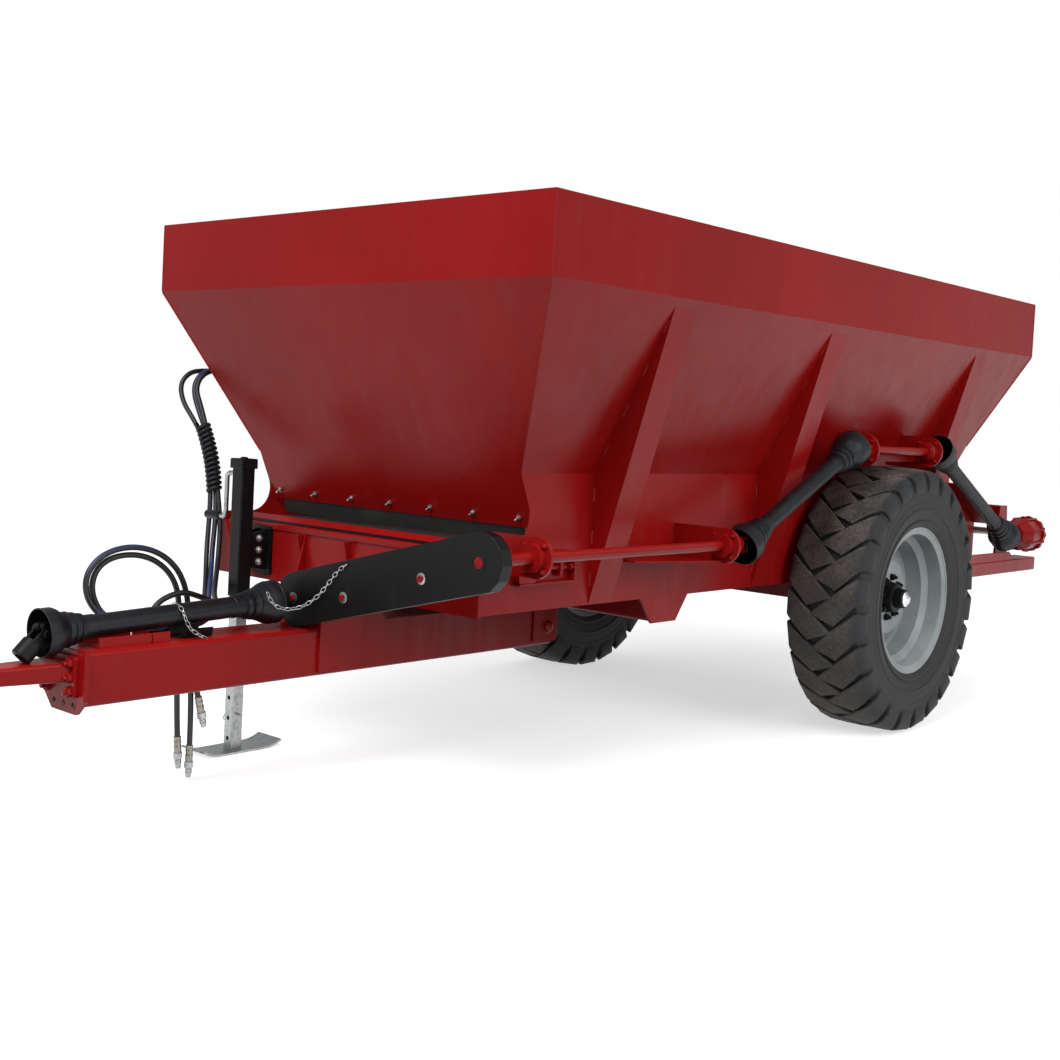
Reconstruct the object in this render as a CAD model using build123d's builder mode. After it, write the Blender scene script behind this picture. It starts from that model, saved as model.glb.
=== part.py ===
from build123d import *
from math import atan2, cos, degrees, radians, sin, sqrt, tan
import os

os.makedirs("parts", exist_ok=True)

# Belt spreader for manure, towed, with a hopper over a belt, two wheels and twin spinner discs.
# Millimetres. +X is forward, toward the towing eye, +Y is left and +Z is up. The ground is z = 0.
# The origin is on the ground, midway between the towing eye's tip and the spinner discs' rims.

# ---------------------------------------------------------------- driving dimensions
front_reach = 4070.0        # axle to the towing eye's tip
rear_reach = 1830.0         # axle to the rims of the spinner discs
axle_x = (rear_reach - front_reach) / 2

# Hopper: an upright band on top, sloping walls under it
hopper_front = axle_x + 2586
hopper_rear = axle_x - 1242
hopper_half = 1039.0        # half of its width
rim_z = 2029.0              # top edge
band_z = 1760.0             # lower edge of the upright band
valley_z = 1133.0           # where the side slopes meet the frame sides
flap_z = 890.0              # lower edge of the front wall, over the belt
front_lean = 0.443          # run of the front wall for each mm of drop
rear_lean = 0.321           # run of the rear wall for each mm of drop
rear_plate_z = 1283.0       # the rear wall stands upright below this
sheet = 5.0                 # hopper and frame side plate
rim_lip = 28.0              # width of the lip folded in along the top edge
flap_corner = 60.0          # radius of the front wall's lower corners

# Frame sides, which are also the walls of the belt channel
channel_half = 711.0        # outer faces
frame_low = 657.0           # lower edge
frame_flange = 60.0         # lower flange, folded inward
frame_flange_t = 6.0
nose_z = 890.0              # top of the frame side ahead of the hopper
nose_x = axle_x + 2480      # front end, at the back of the front cross panel
tail_x = axle_x - 1440      # rear end
tail_z = 880.0              # top at the rear end
tail_flange = 70.0          # flange on the sloping rear edge, folded outward

# Side ribs: folded channels, deepest at the valley
rib_fronts = (axle_x + 1905, axle_x + 805, axle_x - 600)
rib_width = 135.0
rib_top_z = 1728.0

# Belt conveyor
belt_t = 8.0
belt_margin = 51.0          # belt's edge to the outer face of the frame side
belt_half = channel_half - belt_margin
roller_r = 60.0
roller_z = 805.0
front_roller_x = axle_x + 2280
rear_roller_x = axle_x - 1230
roller_shaft_r = 20.0
floor_t = 6.0
slide_gap = 0.3             # the belt's upper run glides this far over its floor

# Wheels
tyre_r = 592.0              # to the tips of the lugs
tyre_width = 360.0
tyre_gap = 29.0             # tyre to the frame side
wheel_y = channel_half + tyre_gap + tyre_width / 2
lug_depth = 26.0
lugs_per_side = 24
rim_r = 328.0               # rim flange, for a 24 inch bead
rim_half = 148.0            # tyre centre to the rim flanges' outer planes
spindle_r = 35.0
spindle_gap = 0.4
axle_size = 120.0
axle_z = tyre_r

# Drawbar
drawbar_half = 100.0
drawbar_low = 375.0
drawbar_top = 545.0
drawbar_wall = 8.0
hitch_long = 510.0          # drawbar's end to the towing eye's tip
drawbar_front = axle_x + front_reach - hitch_long
drawbar_rear = axle_x + 1370
sleeve_front = axle_x + 2650
sleeve_rear = axle_x + 1350
sleeve_t = 12.0
hanger_x = axle_x + 1427    # cross tube that the sleeve's rear end hangs from

# Drive line from the tractor
input_z = 635.0             # power shaft's rear end, at the drive case
side_out = 229.0            # frame side to the line of the side shafts
side_y = channel_half + side_out
side_z = 877.0              # lower side shaft
upper_z = 1255.0            # upper side shaft, over the wheel
shaft_r = 19.0
gearbox_z = 830.0

# Spinner discs
disc_r = 300.0
disc_x = axle_x - rear_reach + disc_r
disc_y = 330.0
disc_z = 640.0
disc_t = 8.0


def front_wall_x(z):
    """Outer face of the hopper's front wall at height z."""
    return hopper_front - front_lean * (band_z - z)


def side_wall_y(z):
    """Outer face of the hopper's side slope at height z."""
    return channel_half + (hopper_half - channel_half) * (z - valley_z) / (band_z - valley_z)


rear_plate_x = hopper_rear + rear_lean * (band_z - rear_plate_z)


def folded_sheet(points, thickness, side):
    """Section of a sheet bent along the points, thick to one side of them."""
    with BuildLine() as section:
        Polyline(*points)
        offset(amount=thickness, side=side, kind=Kind.INTERSECTION)
    make_face(section.edges())


def outline(*points):
    """Filled outline through the points, in the current sketch."""
    return Polygon(*points, align=None)


# ---------------------------------------------------------------- hopper
def hopper_form(inset, top, bottom):
    """Load space as one block: the length section crossed with the width section."""
    with BuildPart() as form:
        with BuildSketch(Plane.XZ):
            outline(
                (hopper_front, top), (hopper_front, band_z), (front_wall_x(bottom), bottom),
                (rear_plate_x, bottom), (rear_plate_x, rear_plate_z), (hopper_rear, band_z), (hopper_rear, top),
            )
            if inset:
                offset(amount=-inset, kind=Kind.INTERSECTION)
        extrude(amount=2 * hopper_half, both=True)
        with BuildSketch(Plane.YZ):
            outline(
                (hopper_half, top), (hopper_half, band_z), (channel_half, valley_z), (channel_half, bottom),
                (-channel_half, bottom), (-channel_half, valley_z), (-hopper_half, band_z), (-hopper_half, top),
            )
            if inset:
                offset(amount=-inset, kind=Kind.INTERSECTION)
        extrude(amount=front_reach, both=True, mode=Mode.INTERSECT)
    return form.part


with BuildPart() as hopper_shell:
    add(hopper_form(0, rim_z, flap_z))
    add(hopper_form(sheet, rim_z, flap_z - 100), mode=Mode.SUBTRACT)
    with BuildSketch(Plane.XY.offset(rim_z - sheet - 1)):
        with Locations(((hopper_front + hopper_rear) / 2, 0)):
            Rectangle(hopper_front - hopper_rear - 2 * rim_lip, 2 * (hopper_half - rim_lip))
    extrude(amount=2 * sheet, mode=Mode.SUBTRACT)

# The panels meet on the mitre lines seen in plan, carried on inward past the sheet's thickness
mitre_depth = 100.0
front_valley_x = front_wall_x(valley_z)
mitre_front = (
    front_valley_x - mitre_depth * (hopper_front - front_valley_x) / (hopper_half - channel_half),
    channel_half - mitre_depth,
)
rear_mitre_slope = (hopper_half - side_wall_y(rear_plate_z)) / (rear_plate_x - hopper_rear)
mitre_rear = (rear_plate_x + sheet, side_wall_y(rear_plate_z) - sheet * rear_mitre_slope)
wall_inner = channel_half - sheet

with BuildPart() as hopper_side_left:
    with BuildSketch(Plane.XY.offset(valley_z)):
        outline(
            (hopper_front, hopper_half), mitre_front, (mitre_rear[0], mitre_front[1]), mitre_rear,
            (hopper_rear, hopper_half),
        )
    extrude(amount=rim_z - valley_z)
    add(hopper_shell.part, mode=Mode.INTERSECT)
hopper_side_left.part.label = "hopper_side_left"
export_step(hopper_side_left.part, "parts/hopper_side_left.step")

with BuildPart() as hopper_side_right:
    mirror(hopper_side_left.part, about=Plane.XZ)
hopper_side_right.part.label = "hopper_side_right"
export_step(hopper_side_right.part, "parts/hopper_side_right.step")

with BuildPart() as hopper_front_wall:
    with BuildSketch(Plane.XY.offset(valley_z)):
        outline(
            (hopper_front, hopper_half), mitre_front, (mitre_front[0], -mitre_front[1]),
            (hopper_front, -hopper_half),
        )
    extrude(amount=rim_z - valley_z)
    with BuildSketch(Plane.YZ.offset(mitre_front[0])):
        with Locations((0, flap_z)):
            Rectangle(2 * wall_inner, valley_z - flap_z, align=(Align.CENTER, Align.MIN))
        fillet(vertices().group_by(Axis.Y)[0], flap_corner)
    extrude(amount=hopper_front - mitre_front[0])
    add(hopper_shell.part, mode=Mode.INTERSECT)
hopper_front_wall.part.label = "hopper_front"
export_step(hopper_front_wall.part, "parts/hopper_front.step")

with BuildPart() as hopper_rear_wall:
    with BuildSketch(Plane.XY.offset(valley_z)):
        outline(
            (hopper_rear, hopper_half), mitre_rear, (mitre_rear[0], -mitre_rear[1]), (hopper_rear, -hopper_half),
        )
    extrude(amount=rim_z - valley_z)
    add(hopper_shell.part, mode=Mode.INTERSECT)
hopper_rear_wall.part.label = "hopper_rear"
export_step(hopper_rear_wall.part, "parts/hopper_rear.step")

# ---------------------------------------------------------------- frame sides and cross members
curve_top_z = 1020.0        # the front edge leaves the hopper's slope here
curve_x = axle_x + 2360     # and runs level from here

with BuildPart() as frame_side_left:
    with BuildSketch(Plane.XZ.offset(-channel_half)):
        with BuildLine():
            start = (front_wall_x(curve_top_z), curve_top_z)
            l1 = Polyline(
                (curve_x, nose_z), (nose_x, nose_z), (nose_x, frame_low), (tail_x, frame_low), (tail_x, tail_z),
                (rear_plate_x, valley_z - 40), (rear_plate_x, valley_z), (front_valley_x, valley_z), start,
            )
            TangentArc(start, (curve_x, nose_z), tangent=(-front_lean, -1))
        make_face()
    extrude(amount=sheet)
    with BuildSketch(Plane.YZ.offset(tail_x)):
        with Locations((channel_half, frame_low)):
            Rectangle(frame_flange, frame_flange_t, align=(Align.MAX, Align.MIN))
    extrude(amount=nose_x - tail_x)
    # flange along the sloping rear edge, folded outward
    tail_run = Vector(rear_plate_x - tail_x, 0, valley_z - 40 - tail_z)
    with BuildSketch(Plane(origin=(tail_x, wall_inner, tail_z), x_dir=(0, 1, 0), z_dir=tail_run)):
        Rectangle(tail_flange, sheet, align=(Align.MIN, Align.MAX))
    extrude(amount=tail_run.length)
frame_side_left.part.label = "frame_side_left"
export_step(frame_side_left.part, "parts/frame_side_left.step")

with BuildPart() as frame_side_right:
    mirror(frame_side_left.part, about=Plane.XZ)
frame_side_right.part.label = "frame_side_right"
export_step(frame_side_right.part, "parts/frame_side_right.step")

cross_tube = 60.0
cross_wall = 5.0
cross_xs = (axle_x + 1900, axle_x + 1427, axle_x + 700, axle_x, axle_x - 700, axle_x - 1150)
with BuildPart() as cross_members:
    for cross_x in cross_xs:
        with BuildSketch(Plane.XZ):
            with Locations((cross_x, frame_low + frame_flange_t)):
                RectangleRounded(cross_tube, cross_tube, 8, align=(Align.CENTER, Align.MIN))
            with Locations((cross_x, frame_low + frame_flange_t + cross_wall)):
                Rectangle(cross_tube - 2 * cross_wall, cross_tube - 2 * cross_wall,
                          align=(Align.CENTER, Align.MIN), mode=Mode.SUBTRACT)
        extrude(amount=wall_inner, both=True)
cross_members.part.label = "cross_members"
export_step(cross_members.part, "parts/cross_members.step")

# ---------------------------------------------------------------- side ribs
rib_sheet = 5.0
rib_line = (side_wall_y(rib_top_z), rib_top_z)
with BuildPart() as side_ribs:
    for rib_front in rib_fronts:
        with BuildSketch(Plane.YZ.offset(rib_front - rib_width)):
            outline(rib_line, (channel_half, valley_z), (channel_half, frame_low))
        extrude(amount=rib_width)
        # hollow between the webs, open toward the hopper
        with BuildSketch(Plane.YZ.offset(rib_front - rib_width + rib_sheet)):
            with Locations((-rib_sheet, 0)):
                outline(rib_line, (channel_half, valley_z), (channel_half, frame_low))
        extrude(amount=rib_width - 2 * rib_sheet, mode=Mode.SUBTRACT)
    mirror(about=Plane.XZ)
side_ribs.part.label = "side_ribs"
export_step(side_ribs.part, "parts/side_ribs.step")

# ---------------------------------------------------------------- outlet and gate at the rear
outlet_half = 480.0
outlet_top_z = 1040.0
belt_top_z = roller_z + roller_r + belt_t
guide_lip = 30.0
gate_t = 6.0
gate_gap = 5.0
runner_gap = 0.4            # gate to the lips of its guides
gate_low_z = belt_top_z + 12
gate_high_z = outlet_top_z + 45
gate_lift = 150.0           # fully open, with its top still under the sloping wall
gate_x = rear_plate_x - gate_gap
with BuildPart() as outlet_frame:
    with BuildSketch(Plane.YZ.offset(rear_plate_x)):
        with Locations((0, belt_top_z + 6)):
            Rectangle(2 * wall_inner, valley_z - belt_top_z - 6, align=(Align.CENTER, Align.MIN))
            Rectangle(2 * outlet_half, outlet_top_z - belt_top_z - 6, align=(Align.CENTER, Align.MIN),
                      mode=Mode.SUBTRACT)
    extrude(amount=sheet)
    # guides that the gate slides in, closed round its edges
    for hand in (-1, 1):
        guide_y = hand * (outlet_half + guide_lip + gate_gap)
        with BuildSketch(Plane.XY.offset(belt_top_z + 6)):
            with Locations((rear_plate_x, guide_y)):
                Rectangle(gate_gap + gate_t + runner_gap + sheet, sheet, align=(Align.MAX, Align.CENTER))
            with Locations((rear_plate_x - gate_gap - gate_t - runner_gap, guide_y + hand * sheet / 2)):
                Rectangle(sheet, guide_lip, align=(Align.MAX, Align.MAX if hand > 0 else Align.MIN))
        extrude(amount=rear_plate_z - belt_top_z - 6)
outlet_frame.part.label = "outlet_frame"
export_step(outlet_frame.part, "parts/outlet_frame.step")

handle_y = 300.0
with BuildPart() as gate:
    with BuildSketch(Plane.YZ.offset(gate_x - gate_t)):
        with Locations((0, gate_low_z)):
            Rectangle(2 * (outlet_half + guide_lip), gate_high_z - gate_low_z, align=(Align.CENTER, Align.MIN))
    extrude(amount=gate_t)
    # stiffening lip along the top, between the guides
    with BuildSketch(Plane.XZ):
        with Locations((gate_x - gate_t, gate_high_z)):
            Rectangle(30, sheet, align=(Align.MAX, Align.MAX))
    extrude(amount=outlet_half - 20, both=True)
    # round bar handles, bent to a U
    for hand in (-1, 1):
        with BuildLine():
            FilletPolyline(
                (gate_x - gate_t, hand * handle_y - 55, gate_low_z + 80),
                (gate_x - gate_t - 45, hand * handle_y - 55, gate_low_z + 80),
                (gate_x - gate_t - 45, hand * handle_y + 55, gate_low_z + 80),
                (gate_x - gate_t, hand * handle_y + 55, gate_low_z + 80),
                radius=18,
            )
        with BuildSketch(Plane(origin=(gate_x - gate_t, hand * handle_y - 55, gate_low_z + 80), z_dir=(-1, 0, 0))):
            Circle(6)
        sweep()
gate.part.label = "gate"
export_step(gate.part, "parts/gate.step")

# ---------------------------------------------------------------- belt conveyor
with BuildPart() as floor_plate:
    with BuildSketch(Plane.XY.offset(roller_z + roller_r - slide_gap - floor_t)):
        with Locations(((front_roller_x + rear_roller_x) / 2, 0)):
            Rectangle(front_roller_x - rear_roller_x - 120, 2 * wall_inner)
    extrude(amount=floor_t)
floor_plate.part.label = "floor_plate"
export_step(floor_plate.part, "parts/floor_plate.step")

with BuildPart() as conveyor_belt:
    with BuildSketch(Plane.XZ):
        with Locations(((front_roller_x + rear_roller_x) / 2, roller_z)):
            SlotCenterToCenter(front_roller_x - rear_roller_x, 2 * (roller_r + belt_t))
            SlotCenterToCenter(front_roller_x - rear_roller_x, 2 * roller_r, mode=Mode.SUBTRACT)
    extrude(amount=belt_half, both=True)
conveyor_belt.part.label = "conveyor_belt"
export_step(conveyor_belt.part, "parts/conveyor_belt.step")

with BuildPart() as rollers:
    for roller_x in (front_roller_x, rear_roller_x):
        with BuildSketch(Plane.XZ):
            with Locations((roller_x, roller_z)):
                Circle(roller_r)
        extrude(amount=belt_half + 15, both=True)
        with BuildSketch(Plane.XZ):
            with Locations((roller_x, roller_z)):
                Circle(roller_shaft_r)
        extrude(amount=wall_inner, both=True)
rollers.part.label = "rollers"
export_step(rollers.part, "parts/rollers.step")

bearing_size = 90.0
bearing_t = 30.0
tensioner_reach = 170.0
rod_r = 8.0
with BuildPart() as belt_bearings:
    for hand in (-1, 1):
        for roller_x in (front_roller_x, rear_roller_x):
            with BuildSketch(Plane.XZ.offset(-hand * channel_half)):
                with Locations((roller_x, roller_z)):
                    RectangleRounded(bearing_size, bearing_size, 12)
            extrude(amount=-hand * bearing_t)
        # threaded rod behind the front bearing, anchored by a tab on the frame side
        with BuildSketch(Plane.YZ.offset(front_roller_x - bearing_size / 2)):
            with Locations((hand * (channel_half + bearing_t / 2), roller_z)):
                Circle(rod_r)
        extrude(amount=-tensioner_reach)
        with BuildSketch(Plane.YZ.offset(front_roller_x - bearing_size / 2 - tensioner_reach + 30)):
            with Locations((hand * (channel_half + bearing_t / 2), roller_z)):
                Rectangle(bearing_t, 60)
        extrude(amount=12)
belt_bearings.part.label = "belt_bearings"
export_step(belt_bearings.part, "parts/belt_bearings.step")

# ---------------------------------------------------------------- front cross panel and drawbar
panel_t = 10.0
panel_front = nose_x + panel_t
panel_low = 650.0
panel_top = 858.0
panel_depth = 90.0
gusset_reach = 55.0
gusset_t = 10.0
with BuildPart() as front_cross_panel:
    with BuildSketch(Plane.XZ):
        folded_sheet(
            [(panel_front - panel_depth, panel_low), (panel_front, panel_low), (panel_front, panel_top),
             (panel_front - 20, panel_top + 12), (panel_front - 60, panel_top + 38)],
            panel_t, Side.LEFT,
        )
    extrude(amount=channel_half - frame_flange, both=True)
    with BuildSketch(Plane.YZ.offset(nose_x)):
        with Locations((0, panel_low)):
            Rectangle(2 * channel_half, panel_top - panel_low, align=(Align.CENTER, Align.MIN))
    extrude(amount=panel_t)
    # two gussets welded on its front face
    for gusset_y, gusset_top in ((-180, panel_top), (70, panel_low + 110)):
        with BuildSketch(Plane.XZ.offset(-gusset_y)):
            outline((panel_front, panel_low), (panel_front + gusset_reach, panel_low), (panel_front, gusset_top))
        extrude(amount=gusset_t / 2, both=True)
front_cross_panel.part.label = "front_cross_panel"
export_step(front_cross_panel.part, "parts/front_cross_panel.step")

hanger_top = frame_low
hanger_low = 557.0
hanger_tube = 90.0
with BuildPart() as draw_crossmember:
    for hand in (-1, 1):
        with BuildSketch(Plane.XZ.offset(-hand * channel_half)):
            outline(
                (hanger_x - 155, hanger_top), (hanger_x + 155, hanger_top),
                (hanger_x + 80, hanger_low), (hanger_x - 80, hanger_low),
            )
        extrude(amount=hand * panel_t)
    with BuildSketch(Plane.XZ):
        with Locations((hanger_x, hanger_low)):
            RectangleRounded(hanger_tube, hanger_top - hanger_low, 10, align=(Align.CENTER, Align.MIN))
    extrude(amount=channel_half - panel_t, both=True)
draw_crossmember.part.label = "draw_crossmember"
export_step(draw_crossmember.part, "parts/draw_crossmember.step")

sleeve_low = drawbar_low + 15
sleeve_gap = 0.3
sleeve_step_z = 586.0
with BuildPart() as drawbar_sleeve:
    for hand in (-1, 1):
        with BuildSketch(Plane.XZ.offset(-hand * (drawbar_half + sleeve_gap))):
            outline(
                (sleeve_rear, sleeve_low), (sleeve_front, sleeve_low), (sleeve_front, sleeve_step_z),
                (panel_front + 30, sleeve_step_z), (panel_front, panel_low), (panel_front - panel_depth, panel_low),
                (panel_front - panel_depth - 60, hanger_low), (sleeve_rear, hanger_low),
            )
        extrude(amount=-hand * sleeve_t)
    with BuildSketch(Plane.XY.offset(drawbar_top + sleeve_gap)):
        with Locations((sleeve_rear, 0)):
            Rectangle(sleeve_front - sleeve_rear, 2 * (drawbar_half + sleeve_gap), align=(Align.MIN, Align.CENTER))
    extrude(amount=hanger_low - drawbar_top - sleeve_gap)
drawbar_sleeve.part.label = "drawbar_sleeve"
export_step(drawbar_sleeve.part, "parts/drawbar_sleeve.step")

cradle_w = 124.0
cradle_h = 33.0
cradle_t = 6.0
cradles = ((250, 186), (320, 64))   # rear end behind the drawbar's front, length
with BuildPart() as drawbar:
    with BuildSketch(Plane.YZ.offset(drawbar_rear)):
        with Locations((0, (drawbar_low + drawbar_top) / 2)):
            RectangleRounded(2 * drawbar_half, drawbar_top - drawbar_low, 14)
            RectangleRounded(2 * (drawbar_half - drawbar_wall), drawbar_top - drawbar_low - 2 * drawbar_wall, 6,
                             mode=Mode.SUBTRACT)
    extrude(amount=drawbar_front - drawbar_rear)
    # two channels on top, open upward, in which the guarded power shaft lies
    for cradle_rear, cradle_long in cradles:
        with BuildSketch(Plane.YZ.offset(drawbar_front - cradle_rear)):
            with Locations((0, drawbar_top)):
                Rectangle(cradle_w, cradle_h, align=(Align.CENTER, Align.MIN))
            with Locations((0, drawbar_top + cradle_t)):
                Rectangle(cradle_w - 2 * cradle_t, cradle_h, align=(Align.CENTER, Align.MIN), mode=Mode.SUBTRACT)
        extrude(amount=cradle_long)
drawbar.part.label = "drawbar"
export_step(drawbar.part, "parts/drawbar.step")

# Black bracket on the drawbar that carries the power shaft's guard when it is parked
rest_x = sleeve_front + 410
rest_long = 120.0
rest_t = 6.0
rest_h = 30.0
rest_flare = 8.0
rest_half = 38.0
with BuildPart() as shaft_rest:
    with BuildSketch(Plane.YZ.offset(rest_x)):
        folded_sheet(
            [(-rest_half - rest_flare, drawbar_top + rest_h), (-rest_half, drawbar_top), (rest_half, drawbar_top),
             (rest_half + rest_flare, drawbar_top + rest_h)],
            rest_t, Side.LEFT,
        )
    extrude(amount=rest_long)
shaft_rest.part.label = "shaft_rest"
export_step(shaft_rest.part, "parts/shaft_rest.step")

end_plate_t = 16.0
end_plate_half = 114.0
end_plate_top = 543.0
end_plate_low = 350.0
end_plate_cut = 45.0        # cut off its lower corners
chain_hole_r = 8.0
hitch_plate_t = 18.0
hitch_half = 86.0
hitch_low = 405.0
hitch_top = 530.0
box_x = drawbar_front + end_plate_t + hitch_plate_t
box_rear = (130.0, 60.0, 482.0)     # width, height and middle of the box at the plate
box_nose = (80.0, 50.0, 487.0)      # and at the eye
eye_r = 70.0
eye_bore_r = 25.0
eye_t = 40.0
eye_neck = 60.0
eye_x = axle_x + front_reach - eye_r
eye_z = box_nose[2]
box_front = eye_x - eye_r
with BuildPart() as hitch_head:
    with BuildSketch(Plane.YZ.offset(drawbar_front)):
        outline(
            (-end_plate_half, end_plate_top), (end_plate_half, end_plate_top),
            (end_plate_half, end_plate_low + end_plate_cut), (end_plate_half - end_plate_cut, end_plate_low),
            (-end_plate_half + end_plate_cut, end_plate_low), (-end_plate_half, end_plate_low + end_plate_cut),
        )
        with Locations((0, end_plate_low + 28)):
            with GridLocations(55, 0, 3, 1):
                Circle(chain_hole_r, mode=Mode.SUBTRACT)
    extrude(amount=end_plate_t)
    with BuildSketch(Plane.YZ.offset(drawbar_front + end_plate_t)):
        with Locations((0, (hitch_low + hitch_top) / 2)):
            RectangleRounded(2 * hitch_half, hitch_top - hitch_low, 10)
    extrude(amount=hitch_plate_t)
    # tapered box that carries the towing eye
    for section_x, (box_w, box_h, box_mid) in ((box_x, box_rear), (box_front, box_nose)):
        with BuildSketch(Plane.YZ.offset(section_x)):
            with Locations((0, box_mid)):
                RectangleRounded(box_w, box_h, 10)
    loft()
hitch_head.part.label = "hitch_head"
export_step(hitch_head.part, "parts/hitch_head.step")

with BuildPart() as towing_eye:
    with BuildSketch(Plane.XY.offset(eye_z - eye_t / 2)):
        with Locations((eye_x, 0)):
            Circle(eye_r)
        with Locations((box_front, 0)):
            Rectangle(eye_r, eye_neck, align=(Align.MIN, Align.CENTER))
        with Locations((eye_x, 0)):
            Circle(eye_bore_r, mode=Mode.SUBTRACT)
    extrude(amount=eye_t)
towing_eye.part.label = "towing_eye"
export_step(towing_eye.part, "parts/towing_eye.step")

# ---------------------------------------------------------------- axle and wheels
axle_end = wheel_y - tyre_width / 2 - 45
with BuildPart() as axle:
    with BuildSketch(Plane.XZ):
        with Locations((axle_x, axle_z)):
            RectangleRounded(axle_size, axle_size, 8)
    extrude(amount=axle_end, both=True)
    for hand in (-1, 1):
        with BuildSketch(Plane.XY.offset(axle_z + axle_size / 2)):
            with Locations((axle_x, hand * (channel_half - frame_flange / 2))):
                Rectangle(240, frame_flange)
        extrude(amount=frame_low - axle_z - axle_size / 2)
        with BuildSketch(Plane.XZ.offset(-hand * axle_end)):
            with Locations((axle_x, axle_z)):
                Circle(spindle_r)
        extrude(amount=-hand * (wheel_y + 30 - axle_end))
axle.part.label = "axle"
export_step(axle.part, "parts/axle.step")

bead_r = 305.0
well_r = 272.0
rim_t = 8.0
dish_y = 22.0               # outer face of the disc, out from the tyre's centre
hub_flange_r = 110.0
hub_r = 72.0
hub_in = 110.0
cap_r = 46.0
carcass_r = tyre_r - lug_depth
lug_wide = 116.0            # round the tyre
lug_lean = 38.0             # degrees off the tyre's axis
tread_base_r = 490.0        # the blocks start inside the carcass
lug_overrun = tyre_r - tread_base_r + 20
# Half section of the carcass, from the bead over the shoulder: distance from the centre, radius
tyre_section = (
    (rim_half - 2 * rim_t - 0.5, bead_r + 0.3), (rim_half - rim_t - 0.5, rim_r + 2), (rim_half + 4, rim_r + 8),
    (tyre_width / 2 - 3, 450), (tyre_width / 2 - 9, 520), (tyre_width / 2 - 34, carcass_r),
)
# Half section of the tread, through the blocks: distance from the centre, radius
block_shoulder = (30.0, 46.0)   # across the tyre, and off its radius
tread_section = (
    (0, tyre_r), (tyre_width / 2 - block_shoulder[0], tyre_r), (tyre_width / 2, tyre_r - block_shoulder[1]),
    (tyre_width / 2, tread_base_r), (0, tread_base_r),
)

wheel_plane = Plane(origin=(axle_x, wheel_y, axle_z), x_dir=(1, 0, 0), z_dir=(0, 1, 0))
section_plane = Plane(origin=(axle_x, wheel_y, axle_z), x_dir=(0, 1, 0), z_dir=(1, 0, 0))
wheel_axis = Axis((axle_x, wheel_y, axle_z), (0, 1, 0))

lug_run = tan(radians(lug_lean)) * tyre_width / 2
with BuildPart() as tread_blocks:
    for hand, phase in ((1, 0.0), (-1, 0.5)):
        for i in range(lugs_per_side):
            turn = radians(360 / lugs_per_side * (i + phase))
            lug_plane = Plane(wheel_plane.origin, x_dir=(0, 1, 0), z_dir=(cos(turn), 0, sin(turn)))
            with BuildSketch(lug_plane.offset(tread_base_r)):
                outline(
                    (hand * 8, -lug_wide / 2 - lug_run / 2), (hand * 8, lug_wide / 2 - lug_run / 2),
                    (hand * tyre_width / 2 + hand, lug_wide / 2 + lug_run / 2),
                    (hand * tyre_width / 2 + hand, -lug_wide / 2 + lug_run / 2),
                )
            extrude(amount=lug_overrun)
    with BuildSketch(section_plane):
        outline(*tread_section, *[(-y, r) for y, r in reversed(tread_section[1:-1])])
    revolve(axis=wheel_axis, mode=Mode.INTERSECT)

with BuildPart() as tyre_left:
    with BuildSketch(section_plane):
        outline(*tyre_section, *[(-y, r) for y, r in reversed(tyre_section)])
    revolve(axis=wheel_axis)
    add(tread_blocks.part)
tyre_left.part.label = "tyre_left"
export_step(tyre_left.part, "parts/tyre_left.step")

with BuildPart() as rim_left:
    with BuildSketch(section_plane):
        folded_sheet(
            [(rim_half - rim_t, rim_r), (rim_half - 2 * rim_t, bead_r), (70, bead_r - 4), (50, well_r),
             (-70, well_r), (-90, bead_r - 4), (-rim_half + 2 * rim_t, bead_r), (-rim_half + rim_t, rim_r)],
            rim_t, Side.LEFT,
        )
    revolve(axis=wheel_axis)
    with BuildSketch(section_plane):
        outline(
            (dish_y, hub_r + 0.3), (dish_y, 165), (-20, 235), (-20, well_r - rim_t + 2), (-30, well_r - rim_t + 2),
            (-30, 228), (dish_y - 10, 160), (dish_y - 10, hub_r + 0.3),
        )
    revolve(axis=wheel_axis)
rim_left.part.label = "rim_left"
export_step(rim_left.part, "parts/rim_left.step")

with BuildPart() as hub_left:
    with BuildSketch(section_plane):
        outline(
            (-hub_in, spindle_r + spindle_gap), (-hub_in, hub_r), (dish_y - 28, hub_r), (dish_y - 28, hub_flange_r),
            (dish_y - 10.3, hub_flange_r), (dish_y - 10.3, hub_r), (dish_y + 40, hub_r - 8), (dish_y + 44, cap_r),
            (dish_y + 80, cap_r - 4), (dish_y + 86, cap_r - 12), (dish_y + 86, 0), (40, 0), (40, spindle_r + spindle_gap),
        )
    revolve(axis=wheel_axis)
hub_left.part.label = "hub_left"
export_step(hub_left.part, "parts/hub_left.step")

for name, left in (("tyre_right", tyre_left), ("rim_right", rim_left), ("hub_right", hub_left)):
    with BuildPart() as right_piece:
        mirror(left.part, about=Plane.XZ)
    right_piece.part.label = name
    export_step(right_piece.part, f"parts/{name}.step")

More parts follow.
